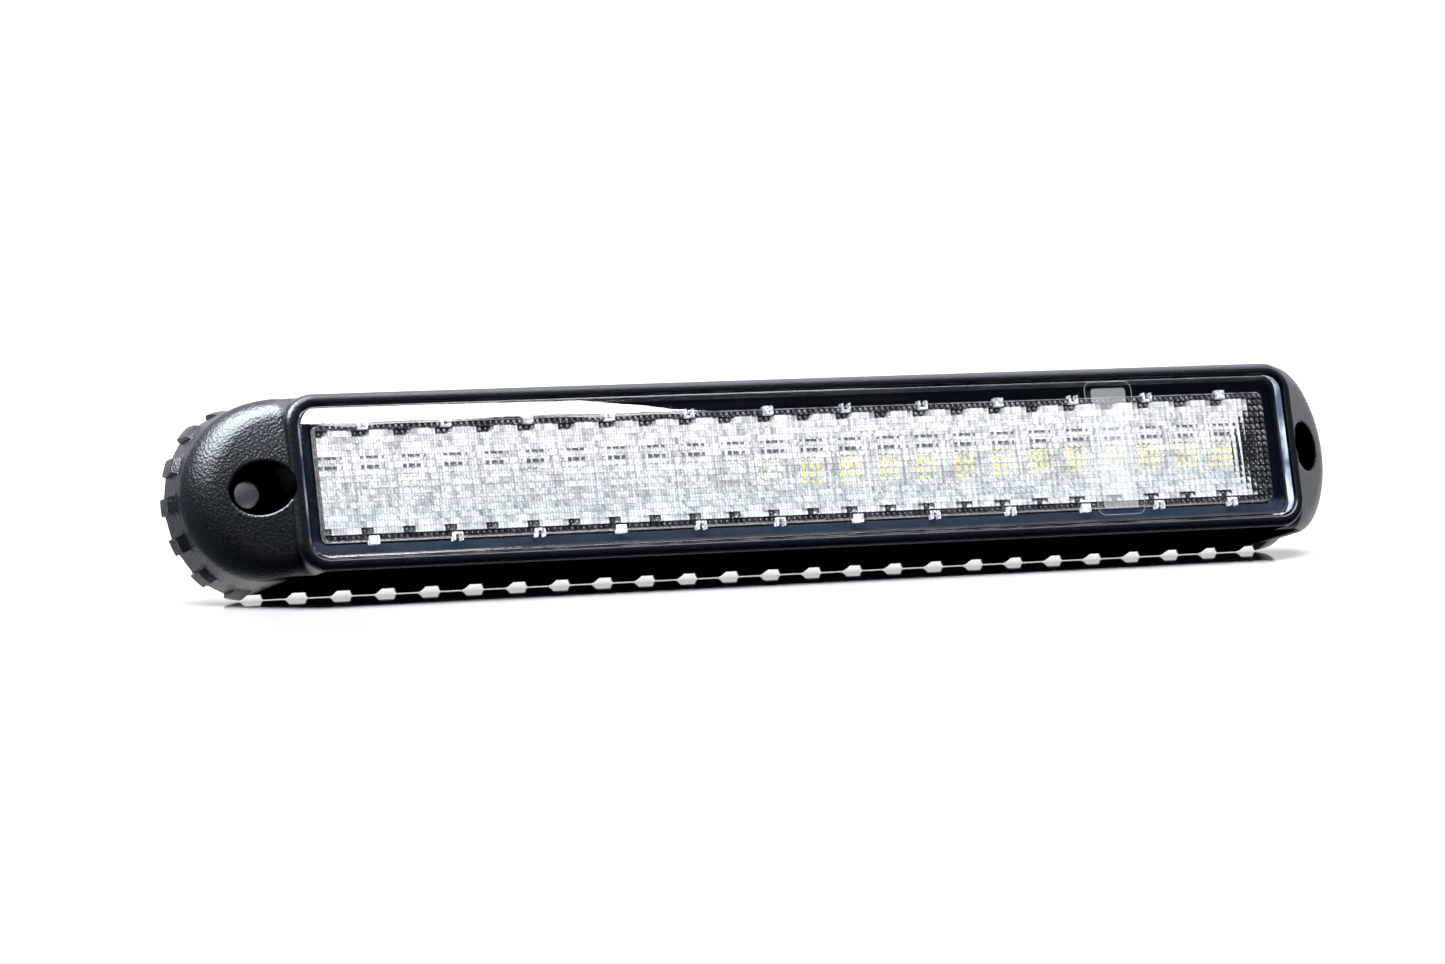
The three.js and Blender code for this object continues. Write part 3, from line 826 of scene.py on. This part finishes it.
def clear_lens():
    """Polished polycarbonate that lets light through to what is behind it."""
    n = Nodes("clear_lens")
    waves = n.noise(14.0, 1.0, stretch=(0.4, 1, 2.4))
    inputs = {
        "Base Color": (0.985, 0.99, 1.0, 1),
        "Roughness": 0.0,
        "IOR": 1.585,
        "Transmission Weight": 1.0,
        "Normal": n.bump(waves, 0.003),
    }
    glass = n.shader("Principled", **inputs)
    clear = n.shader("Transparent", Color=(0.96, 0.965, 0.97, 1))
    n.mix_surface(n.light_ray("Shadow"), glass, clear)
    return n.material


def lens_side():
    """The lens's cut edge, painted pale in streaks as a painted reflection, with a painted glow."""
    n = Nodes("lens_side")
    # Painted reflection: pale streaks along the edge stand for the glints it mirrors, and the
    # emission is a painted glow.
    drift = n.ramp(n.noise(6.0, 2.0, stretch=(1, 2, 1)), 0.38, 0.62)
    tint = n.colour(drift, (0.07, 0.1, 0.15), (0.4, 0.47, 0.56))
    inputs = {
        "Base Color": tint,
        "Roughness": n.ramp(drift, 0.0, 1.0, 0.15, 0.3),
        "Emission Color": tint,
        "Emission Strength": 0.5,
        "Normal": n.bump(n.noise(0.6, 2.0), 0.01),
    }
    n.surface(inputs)
    return n.material


def veil(name, amount, grain):
    """A thin whitish patch on the lens that mostly lets the view through, with a painted glow."""
    n = Nodes(name)
    texture = n.noise(grain, 2.0)
    inputs = {
        "Base Color": (0.6, 0.62, 0.65, 1),
        "Roughness": 0.7,
        "Specular IOR Level": 0.1,
        # The emission is a painted glow that brightens the patch.
        "Emission Color": (0.9, 0.93, 0.97, 1),
        "Emission Strength": 0.75,
        "Normal": n.bump(texture, 0.01),
    }
    etched = n.shader("Principled", **inputs)
    clear = n.shader("Transparent", Color=(1, 1, 1, 1))
    see_through = n.ramp(texture, 0.2, 0.8, 1.06 - amount, 0.94 - amount)
    n.mix_surface(see_through, etched, clear)
    return n.material


def optic_clear():
    """Clear prism plate. Each prism differs a little in clearness and carries a small painted
    sparkle, the grooves between prisms are darker, and the long edges carry a painted highlight."""
    n = Nodes("optic_clear")
    height = n.size_of(n.axis(2))
    haze = n.noise(0.5, 3.0)
    across = n.math("DIVIDE", n.axis(0), PRISM_PITCH)
    upward = n.math("DIVIDE", n.axis(2), PRISM_PITCH)
    cell = n.add("ShaderNodeCombineXYZ", {
        "X": n.math("FLOOR", across),
        "Y": n.math("FLOOR", upward),
        "Z": 0.0,
    })
    chance = n.add("ShaderNodeTexWhiteNoise", {"Vector": cell.outputs[0]}).outputs["Value"]
    clearness = n.ramp(chance, 0.0, 0.7, 0.6, 1.0)
    sides = [n.math("SUBTRACT", n.math("FRACT", value), 0.5) for value in (across, upward)]
    grooves = [n.ramp(n.size_of(side), 0.36, 0.5, 1.0, 0.5) for side in sides]
    clearness = n.product(clearness, *grooves)
    off_leds = n.math(
        "MAXIMUM",
        n.ramp(height, 2.6, 3.4),
        n.ramp(n.size_of(n.axis(0)), BOWL_END - 1.0, BOWL_END),
    )
    # Painted sparkle: a small glowing dot in each prism away from the LEDs.
    painted_sparkle = n.fall(n.distance(*sides), 0.16, 0.3)
    painted_sparkle = n.product(painted_sparkle, n.ramp(chance, 0.1, 0.9, 0.25, 1.0), off_leds)
    # Painted highlight along the plate's long edges.
    edge = n.ramp(height, OPTIC_HALF_HEIGHT - 0.22, OPTIC_HALF_HEIGHT - 0.16)
    edge = n.product(edge, n.ramp(n.noise(1.2, 2.0), 0.35, 0.6, 0.2, 0.9))
    # The painted glow is stronger towards the top.
    upper = n.ramp(n.axis(2), -5.0, 5.0, 0.3, 0.9)
    inputs = {
        "Base Color": n.colour(clearness, (0.05, 0.055, 0.075), (1.0, 1.0, 1.0)),
        "Roughness": n.ramp(haze, 0.35, 0.75, 0.0, 0.04),
        "IOR": 1.5,
        "Transmission Weight": 1.0,
        "Normal": n.bump(n.noise(0.35, 2.0), 0.008),
    }
    glass = n.shader("Principled", **inputs)
    painted_glow = n.add("ShaderNodeEmission", {"Color": (0.95, 0.97, 1.0, 1), "Strength": 0.8}).outputs[0]
    painted_glow_share = n.product(n.math("MAXIMUM", painted_sparkle, edge), upper, 0.6)
    plate = n.mix_surface(painted_glow_share, glass, painted_glow)
    clear = n.shader("Transparent", Color=(0.95, 0.955, 0.965, 1))
    n.mix_surface(n.light_ray("Shadow"), plate, clear)
    return n.material


def optic_tab():
    """Moulded tabs, painted pale in patches and given a painted glow for light running along them.
    """
    n = Nodes("optic_tab")
    # Painted light: the pale patches and the emission stand for light running along the tabs.
    tint = n.colour(n.ramp(n.noise(0.6, 2.0), 0.4, 0.6), (0.35, 0.38, 0.43), (0.95, 0.96, 0.98))
    inputs = {
        "Base Color": tint,
        "Roughness": 0.12,
        "IOR": 1.5,
        "Transmission Weight": 0.3,
        "Emission Color": tint,
        "Emission Strength": 0.4,
        "Normal": n.bump(n.noise(0.4, 2.0), 0.02),
    }
    n.surface(inputs)
    return n.material


def mirror_metal():
    """Bright bowls round each LED, with a painted dark reflection above it, and a dark tray outside
    them. The bowls carry a soft painted glow that stands for the light they gather from the room."""
    n = Nodes("mirror_metal")
    x = n.axis(0)
    z = n.axis(2)
    share = n.math("FRACT", n.math("DIVIDE", x, LED_PITCH))
    from_led = n.size_of(n.product(n.math("SUBTRACT", share, 0.5), LED_PITCH))
    from_centre = n.distance(from_led, n.math("SUBTRACT", z, BOWL_LIFT))
    bright = n.product(
        n.fall(from_centre, BOWL_EDGE - 0.1, BOWL_EDGE + 0.1),
        n.fall(n.size_of(x), BOWL_END, BOWL_END + 0.4),
    )
    seam = n.ramp(from_led, LED_PITCH / 2 - 0.5, LED_PITCH / 2 - 0.2)
    speckle = n.ramp(n.noise(1.6, 5.0, roughness=0.8), 0.44, 0.62)
    # Painted light and shade: the glow is white at the top and bluish grey towards the bottom.
    pale = n.colour(n.ramp(z, 4.0, -3.0), (1.0, 1.0, 1.0), (0.7, 0.745, 0.77))
    marked = n.colour(n.product(speckle, 0.52), pale, (0.08, 0.095, 0.13))
    marked = n.colour(n.product(seam, 0.45), marked, (0.05, 0.06, 0.1))
    # Painted reflection: a dark patch above each LED stands for a dark image mirrored in the bowl.
    painted_dark_reflection = n.product(
        n.fall(n.size_of(n.math("SUBTRACT", z, PAINTED_REFLECTION_Z)), 0.4, 0.75),
        n.fall(from_led, 1.2, 2.0),
    )
    marked = n.colour(n.product(painted_dark_reflection, 0.88), marked, (0.01, 0.015, 0.05))
    inputs = {
        "Base Color": n.colour(bright, (0.004, 0.005, 0.007), n.colour(0.7, marked, (0, 0, 0))),
        "Metallic": 0.3,
        "Specular IOR Level": n.ramp(bright, 0.0, 1.0, 0.05, 0.4),
        "Roughness": n.ramp(n.noise(1.2, 3.0), 0.3, 0.7, 0.2, 0.3),
        "Emission Color": n.colour(bright, (0, 0, 0), marked),
        "Emission Strength": 1.5,
        "Normal": n.bump(n.noise(0.8, 2.0), 0.01),
    }
    n.surface(inputs)
    return n.material


def moulded(name, colour, roughness, grain=0.4, depth=0.02, spread=0.25, glow=0.0):
    """A plain moulded or sintered material with fine grain and slight colour drift, and a painted
    glow of strength glow.
    """
    n = Nodes(name)
    darker = tuple(channel * (1 - spread) for channel in colour)
    tint = n.colour(n.noise(grain * 8, 3.0), darker, colour)
    inputs = {
        "Base Color": tint,
        "Emission Color": tint,
        "Emission Strength": glow,
        "Roughness": n.ramp(n.noise(grain * 4, 2.0), 0.3, 0.7, roughness - 0.06, roughness + 0.06),
        "Normal": n.bump(n.noise(grain, 3.0), depth),
    }
    n.surface(inputs)
    return n.material


def phosphor():
    """Yellow phosphor with a fine powdery surface and a painted glow. The left-hand LEDs are paler
    and dimmer.
    """
    n = Nodes("phosphor")
    yellow = n.colour(n.noise(0.3, 3.0), (1.0, 0.68, 0.0), (1.0, 0.88, 0.0))
    place = n.ramp(n.axis(0), PALE_LEDS_END, YELLOW_LEDS_START)
    tint = n.colour(place, (0.85, 0.87, 0.88), yellow)
    inputs = {
        "Base Color": tint,
        "Roughness": 0.4,
        # Painted glow, weaker on the left-hand LEDs.
        "Emission Color": tint,
        "Emission Strength": n.ramp(n.axis(0), PALE_LEDS_END, YELLOW_LEDS_START, 0.9, 3.0),
        "Normal": n.bump(n.noise(0.12, 2.0), 0.02),
    }
    n.surface(inputs)
    return n.material


def white_floor():
    """Pale glossy sheet that mirrors as strongly from every side."""
    n = Nodes("white_floor")
    tint = n.colour(n.noise(400.0, 1.0), (0.93, 0.935, 0.97), (0.945, 0.95, 0.985))
    paper = n.shader("Diffuse", Color=tint)
    gloss = n.shader("Glossy", Color=(1, 1, 1, 1), Roughness=0.03)
    n.mix_surface(0.5, paper, gloss)
    return n.material


BLACK = black_plastic()
SEAL = moulded("silicone", (0.02, 0.021, 0.023), 0.55, 0.5, 0.02)
# The LED package's glow is a painted glow; the package is no lamp.
PACKAGE = moulded("led_package", (0.85, 0.86, 0.84), 0.35, 0.3, 0.01, 0.06, 0.6)
BOARD = moulded("board", (0.82, 0.83, 0.8), 0.3, 0.6, 0.01, 0.05)
CHIP = moulded("chip", (0.014, 0.014, 0.015), 0.45, 0.1, 0.008)
CERAMIC = moulded("ceramic", (0.48, 0.33, 0.17), 0.4, 0.2, 0.01)
TERMINAL = moulded("terminal", (0.72, 0.73, 0.68), 0.4, 0.4, 0.01, 0.08)
RUBBER = moulded("rubber", (0.01, 0.01, 0.011), 0.62, 0.25, 0.03)
MEMBRANE = moulded("membrane", (0.58, 0.6, 0.61), 0.7, 0.15, 0.03, 0.1)
LENS = clear_lens()
LENS_SIDE = lens_side()
PAD = veil("lens_pad", 0.15, 0.12)
PAD_LINE = veil("pad_line", 0.2, 0.2)
OPTIC = optic_clear()
TAB = optic_tab()
MIRROR = mirror_metal()
PHOSPHOR = phosphor()


# ------------------------------------------------------------------ pieces
def front_lens():
    """The flat lens with bevelled front edges and slanting sides that carry a pale painted
    reflection and painted glow.
    """
    corner = WINDOW_CORNER - 0.3
    bevel = 0.45
    end_slant = 0.9
    edge_slant = 0.04
    face_outline = rounded_rectangle(lens_high.x, lens_high.z, corner, 12)
    back_corner = corner - 0.6
    back_x = lens_high.x - end_slant
    back_z = lens_high.z - edge_slant
    back_outline = rounded_rectangle(back_x, back_z, back_corner, 12)
    side_start = lens_low.y + bevel
    loops = [
        at_depth(face_outline(bevel), lens_low.y),
        at_depth(face_outline(bevel * 0.45), lens_low.y + bevel * 0.2),
        at_depth(face_outline(0.0), side_start),
        at_depth(back_outline(0.0), lens_high.y),
    ]
    lens = shade(loft("front_lens", loops), 40)
    piece(lens, "clear_lens", LENS, LENS_SIDE, stands_for=["outer_lens"])
    for face in lens.data.polygons:
        spot = face.center / MM
        on_side = spot.y > side_start and face.normal.y < 0.98
        on_left_bevel = spot.x < bevel - lens_high.x and spot.y > lens_low.y + bevel * 0.2
        face.material_index = 1 if on_side or on_left_bevel else 0


def lens_pad():
    """A plain etched pad standing a hair proud of the lens, inside a thin raised line."""
    pad_x = 62.7
    pad_z = 0.5
    proud = 0.03
    front = lens_low.y - proud
    back = lens_low.y - 0.008

    def placed(half_length, half_height, corner):
        shape = rounded_rectangle(half_length, half_height, corner, 8)
        return lambda inset: shape(inset) + (pad_x, pad_z)

    levels = [(0.08, front - 0.02), (0.0, front), (0.0, back)]
    pad = shade(layered("lens_pad", placed(3.7, 11.2, 0.6), levels), 40)
    piece(pad, "clear_lens", PAD)
    line = layered("pad_line", placed(5.1, 12.5, 1.6), levels)
    inner = layered("inner", placed(4.98, 12.38, 1.48), [(0.0, front - PAST), (0.0, back + PAST)])
    piece(shade(combine(line, [inner], "DIFFERENCE"), 40), "clear_lens", PAD_LINE)


def prism_plate():
    """Clear plate with a grid of small pillow prisms on its front."""
    step = PRISM_PITCH / PRISM_STEPS
    columns = 2 * int(OPTIC_HALF_LENGTH / step)
    rows = 2 * int(OPTIC_HALF_HEIGHT / step)
    xs = (np.arange(columns + 1) - columns / 2) * step
    zs = (np.arange(rows + 1) - rows / 2) * step
    grid_x, grid_z = np.meshgrid(xs, zs, indexing="ij")

    def pillow(value, sag):
        local = (value / PRISM_PITCH) % 1.0
        return sag * (2 * local - 1) ** 2

    corner = 1.2
    over_x = np.maximum(np.abs(grid_x) - (OPTIC_HALF_LENGTH - corner), 0)
    over_z = np.maximum(np.abs(grid_z) - (OPTIC_HALF_HEIGHT - corner), 0)
    grid_y = OPTIC_FRONT + pillow(grid_x, PRISM_SAG_X) + pillow(grid_z, PRISM_SAG_Z)
    inside = np.hypot(over_x, over_z) / corner
    pull = np.where(inside > 1, 1 / np.maximum(inside, 1e-6), 1.0)
    side_x = np.sign(grid_x) * (OPTIC_HALF_LENGTH - corner)
    side_z = np.sign(grid_z) * (OPTIC_HALF_HEIGHT - corner)
    grid_x = np.where(inside > 1, side_x + (grid_x - side_x) * pull, grid_x)
    grid_z = np.where(inside > 1, side_z + (grid_z - side_z) * pull, grid_z)
    plate = from_grid("prism_plate", grid_x, grid_y, grid_z, OPTIC_BACK)
    plate.data.shade_smooth()
    plate.data.set_sharp_from_angle(angle=math.radians(24))
    piece(plate, "clear_optic", OPTIC, stands_for=["prism_optic"])


def optic_tabs():
    """Locating tabs along both long edges. Two in three have a hollow open to the outside."""
    wall = 0.3
    front = OPTIC_FRONT - 0.2
    back = LEDGE_Y - 0.3
    spans = []
    for edge in (-1, 1):
        for k in range(TAB_COUNT):
            x = (k - (TAB_COUNT - 1) / 2) * TAB_PITCH
            tuck = 0.18 if edge > 0 else 0.07
            middle = edge * (OPTIC_HALF_HEIGHT - tuck)
            low_z = middle - TAB_HEIGHT / 2
            high_z = middle + TAB_HEIGHT / 2
            left = x - TAB_WIDTH / 2
            right = x + TAB_WIDTH / 2
            if (k + (edge > 0)) % 3 == 0:
                spans.append(((left, front, low_z), (right, back, high_z)))
                continue
            spans.append(((left, front, low_z), (left + wall, back, high_z)))
            spans.append(((right - wall, front, low_z), (right, back, high_z)))
            floor_low = low_z if edge > 0 else high_z - wall
            spans.append((
                (left + wall, front, floor_low),
                (right - wall, back, floor_low + wall),
            ))
    tabs = boxes("optic_tabs", spans)
    work = bmesh.new()
    work.from_mesh(tabs.data)
    bmesh.ops.bevel(work, geom=work.edges, offset=0.07 * MM, segments=1, affect="EDGES")
    work.to_mesh(tabs.data)
    work.free()
    piece(shade(tabs, 40), "clear_optic", TAB)


def led_centres():
    """X of each LED, from left to right."""
    return [(k - (LED_COUNT - 1) / 2) * LED_PITCH for k in range(LED_COUNT)]


def bowls():
    """A tray of overlapping parabolic bowls with a straight throat round each LED."""
    step = 0.4
    columns = round(2 * tray_high.x / step)
    rows = 52
    xs = np.linspace(tray_low.x, tray_high.x, columns + 1)
    xs = np.round(xs / step) * step
    xs[0], xs[-1] = tray_low.x, tray_high.x
    zs = np.linspace(tray_low.z, tray_high.z, rows + 1)
    grid_x, grid_z = np.meshgrid(xs, zs, indexing="ij")
    centres = np.array(led_centres())
    nearest = np.abs(grid_x[..., None] - centres).min(-1)
    radius = np.hypot(nearest, grid_z)
    floor = LED_BASE - 0.6
    height = floor - tray_low.y
    spread = BOWL_RADIUS**2 - BOWL_THROAT**2
    fill = np.clip((radius**2 - BOWL_THROAT**2) / spread, 0, 1)
    at_end = np.abs(grid_x) > tray_high.x - 1.0
    grid_y = np.where(at_end, tray_low.y, floor - height * fill)
    tray = from_grid("reflector_bowls", grid_x, grid_y, grid_z, LED_BASE)
    throats = []
    for x in led_centres():
        profile = [(BOWL_THROAT, floor - 1.0), (BOWL_THROAT, LED_BASE + PAST)]
        throats.append(turned("throat", profile, x, 40))
    combine(tray, throats, "DIFFERENCE")
    tray.data.shade_smooth()
    tray.data.set_sharp_from_angle(angle=math.radians(30))
    piece(tray, "mirror_metal", MIRROR, stands_for=["reflector"])


def led_package(name, x):
    """A white package with a small upright window filled with yellow phosphor."""
    half = 1.4
    edge = 0.12
    front = LED_FRONT + 0.12
    window = rounded_rectangle(PHOSPHOR_HALF_WIDTH, PHOSPHOR_HALF_HEIGHT, 0.2, 4)
    body = rounded_rectangle(half, half, 0.2, 4)

    def placed(shape, inset, y):
        return at_depth(shape(inset) + (x, 0.0), y)

    package = loft(name, [
        placed(body, 0.0, LED_BASE),
        placed(body, 0.0, front + edge),
        placed(body, edge, front),
        placed(window, -0.15, front),
        placed(window, 0.0, front + 0.08),
        placed(window, 0.05, front + 0.02),
        placed(window, 0.3, front - 0.08),
    ])
    node = name.replace("light_", "led_")
    piece(shade(package, 35), "led", PACKAGE, PHOSPHOR, stands_for=[node])
    for face in package.data.polygons:
        spot = face.center / MM
        across = abs(spot.x - x) < PHOSPHOR_HALF_WIDTH and abs(spot.z) < PHOSPHOR_HALF_HEIGHT
        face.material_index = 1 if across and spot.y < front + 0.06 else 0


def back_cover():
    """The rear cover with eased edges, a stepped cable hole and the breather's hole."""
    outline = rounded_rectangle(cover_high.x, cover_high.z, 3.2, 10)
    edge = 0.3
    levels = [
        (0.0, cover_low.y),
        (0.0, -edge),
        (edge * 0.3, -edge * 0.3),
        (edge, 0.0),
    ]
    cover = layered("back_cover", outline, levels)
    cable_x = (grommet_low.x + grommet_high.x) / 2
    vent_x = (vent_low.x + vent_high.x) / 2
    neck = 4.6
    seat = 6.5
    vent = vent_high.x - vent_x + 0.3
    groove = rounded_rectangle(cover_high.x - 2.0, cover_high.z - 2.0, 1.6, 8)
    island = rounded_rectangle(cover_high.x - 2.9, cover_high.z - 2.9, 1.0, 8)
    track = layered("track", groove, [(0.25, -0.35), (0.0, 0.1)])
    keep = layered("keep", island, [(-0.25, -0.6), (0.0, 0.2)])
    combine(track, [keep], "DIFFERENCE")
    cuts = [
        track,
        turned("neck", [(neck, cover_low.y - PAST), (neck, PAST)], cable_x),
        turned("seat", [(seat, -1.0), (seat, -0.2), (seat + 1.2, PAST)], cable_x),
        turned("vent", [(vent, cover_low.y - PAST), (vent, PAST)], vent_x),
    ]
    combine(cover, cuts, "DIFFERENCE")
    piece(shade(cover), "black_plastic", BLACK, stands_for=["rear_cover"])


def cable_ring():
    """Rubber grommet with a soft rounded flange and a groove for the cover's edge."""
    x = (grommet_low.x + grommet_high.x) / 2
    bore = 3.1
    neck = 4.3
    flange = 5.9
    inner = grommet_low.y
    profile = [
        (bore + 0.3, inner),
        (flange - 0.6, inner),
        (flange - 0.15, inner + 0.25),
        (flange, inner + 0.9),
        (neck, inner + 0.9),
        (neck, -0.7),
        (flange - 0.05, -0.7),
        (flange - 0.1, -0.45),
        (flange - 0.5, -0.25),
        (flange - 1.0, -0.2),
        (bore + 0.5, -0.2),
        (bore + 0.1, -0.35),
        (bore, -0.7),
        (bore, inner + 0.4),
    ]
    ring = shade(ring_turned("cable_ring", profile, x), 40)
    piece(ring, "rubber", RUBBER, stands_for=["cable_grommet"])


def breather():
    """Breather plug with a dished middle and four small slots round its rim."""
    x = (vent_low.x + vent_high.x) / 2
    radius = vent_high.x - x
    top = vent_high.y
    profile = [
        (radius, vent_low.y),
        (radius, top - 0.4),
        (radius - 0.15, top - 0.12),
        (radius - 0.5, top),
        (radius - 1.5, top),
        (radius - 1.7, top - 0.1),
        (radius - 1.9, top - 0.5),
        (0.4, top - 0.55),
    ]
    plug = turned("breather", profile, x)
    slots = []
    for turn in range(4):
        slot = boxes("slot", [((1.55, top - 0.45, -0.25), (2.45, top + 1, 0.25))])
        slots.append(moved(slot, turn * 90, "Y", x))
    combine(plug, slots, "DIFFERENCE")
    piece(shade(plug, 30), "membrane", MEMBRANE, stands_for=["vent_plug"])


piece(housing_solid(), "black_plastic", BLACK, stands_for=["housing"])
front_lens()
lens_pad()
prism_plate()
optic_tabs()
bowls()
for number, centre in enumerate(led_centres(), 1):
    led_package(f"light_{number:02d}", centre)
back_cover()
cable_ring()
breather()

# CAD nodes that are kept as they are and only get a material
kept_nodes = [
    (SEAL, ["lens_seal"]),
    (BOARD, ["circuit_board"]),
    (CHIP, ["driver_chip_left", "driver_chip_right", "input_diode"]),
    (CHIP, [f"resistor_{number}" for number in range(1, 5)]),
    (CERAMIC, ["capacitor_left", "capacitor_right"]),
    (TERMINAL, ["wire_terminal"]),
]
for material, nodes in kept_nodes:
    for node in nodes:
        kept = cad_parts[node]
        kept.data.materials.clear()
        kept.data.materials.append(material)


# ------------------------------------------------------------------ camera
def in_stand(x, y, z):
    """A place or direction given level with the floor, turned into the part's frame."""
    return STAND @ Vector((x, y, z))


def make_camera():
    """A long lens about 92 mm above the floor, looking slightly down."""
    turn = Matrix.Rotation(math.radians(CAMERA_TURN), 4, "Z")
    tip = Matrix.Rotation(math.radians(90 - CAMERA_DOWN), 4, "X")
    roll = Matrix.Rotation(math.radians(CAMERA_ROLL), 4, "Z")
    data = bpy.data.cameras.new("camera")
    data.lens = CAMERA_LENS
    data.sensor_width = SENSOR_WIDTH
    data.clip_start = 0.01
    data.clip_end = 100.0
    camera = in_scene("camera", data)
    place = Matrix.Translation(in_stand(*CAMERA_PLACE))
    camera.matrix_world = place @ STAND @ turn @ tip @ roll
    bpy.context.scene.camera = camera
    return camera


camera = make_camera()
bpy.context.view_layer.update()


# ------------------------------------------------------------------ stage and light
def make_floor():
    """A wide pale sheet under the lowest teeth, tilted because the part's frame is upright.
    It is left out of what the lamp's surfaces reflect, so that the lower side stays dark."""
    drop = (STAND.inverted() @ (CONTACT * MM)).z - CONTACT_GAP * MM
    corners = [
        (-FLOOR_REACH, -FLOOR_REACH, drop),
        (FLOOR_REACH, -FLOOR_REACH, drop),
        (FLOOR_REACH, FLOOR_BACK, drop),
        (-FLOOR_REACH, FLOOR_BACK, drop),
    ]
    mesh = bpy.data.meshes.new("floor")
    mesh.from_pydata([in_stand(*corner) for corner in corners], [], [(0, 1, 2, 3)])
    mesh.materials.append(white_floor())
    floor = in_scene("floor", mesh)
    floor.visible_diffuse = False
    floor.visible_glossy = False


def make_world():
    """White sweep behind the lamp and a dim bluish room in front of it and on its left. The
    background that the camera sees directly is plain white from every side."""
    world = bpy.data.worlds.new("studio")
    world.use_nodes = True
    bpy.context.scene.world = world
    tree = world.node_tree
    background = tree.nodes["Background"]
    place = tree.nodes.new("ShaderNodeTexCoord").outputs["Generated"]
    split = tree.nodes.new("ShaderNodeSeparateXYZ")
    tree.links.new(place, split.inputs[0])

    def ramp(axis, start, end, low, high):
        node = tree.nodes.new("ShaderNodeMapRange")
        node.interpolation_type = "SMOOTHSTEP"
        tree.links.new(split.outputs[axis], node.inputs["Value"])
        limits = {"From Min": start, "From Max": end, "To Min": low, "To Max": high}
        for name, value in limits.items():
            node.inputs[name].default_value = value
        return node.outputs[0]

    def math_node(operation, *values):
        node = tree.nodes.new("ShaderNodeMath")
        node.operation = operation
        for socket, value in zip(node.inputs, values):
            tree.links.new(value, socket)
        return node.outputs[0]

    front_to_back = ramp(1, -0.15, 0.5, ROOM_FRONT, ROOM_BACK)
    left_to_right = ramp(0, -0.5, -0.15, ROOM_LEFT, 1.0)
    room = math_node("MULTIPLY", front_to_back, left_to_right)
    seen = tree.nodes.new("ShaderNodeLightPath").outputs["Is Camera Ray"]
    strength = math_node("MAXIMUM", room, seen)
    tint = tree.nodes.new("ShaderNodeMix")
    tint.data_type = "RGBA"
    tint.inputs[6].default_value = ROOM_TINT
    tint.inputs[7].default_value = (1.0, 1.0, 1.0, 1)
    tree.links.new(strength, tint.inputs[0])
    tree.links.new(tint.outputs[2], background.inputs["Color"])
    tree.links.new(strength, background.inputs["Strength"])


def make_sun(name, energy, spread, aim):
    """A broad, even light that comes from the aim, given in the stand's frame."""
    data = bpy.data.lights.new(name, "SUN")
    data.energy = energy
    data.angle = math.radians(spread)
    light = in_scene(name, data)
    light.rotation_mode = "QUATERNION"
    light.rotation_quaternion = in_stand(*aim).to_track_quat("Z", "Y")
    return light


def make_lights():
    """Overhead light, and two more that only show in gloss."""
    make_sun("overhead", *OVERHEAD)
    for name, settings in SHEENS.items():
        sheen = make_sun(name, *settings)
        sheen.visible_diffuse = False
        sheen.visible_transmission = False


def make_softbox():
    """A tall softbox to the right, placed so that the lens mirrors its lower corner at the
    photograph's angle. Only perfectly smooth surfaces show it, and it lights nothing else."""
    eye = camera.matrix_world.translation
    points = []
    for x, z in SOFTBOX_OUTLINE:
        on_lens = Vector((x * MM, lens_low.y * MM, z * MM))
        sight = on_lens - eye
        mirrored = Vector((sight.x, -sight.y, sight.z))
        points.append(on_lens + mirrored * SOFTBOX_AWAY)
    mesh = bpy.data.meshes.new("softbox")
    mesh.from_pydata(points, [], [range(len(points))])
    n = Nodes("softbox")
    white = (1, 1, 1, 1)
    glow = n.add("ShaderNodeEmission", {"Color": white, "Strength": SOFTBOX_STRENGTH}).outputs[0]
    clear = n.shader("Transparent", Color=white)
    n.mix_surface(n.light_ray("Singular"), clear, glow)
    mesh.materials.append(n.material)
    box = in_scene("softbox", mesh)
    box.visible_camera = False


make_floor()
make_world()
make_lights()
make_softbox()
bpy.context.scene.view_settings.view_transform = "Standard"

bpy.context.view_layer.update()
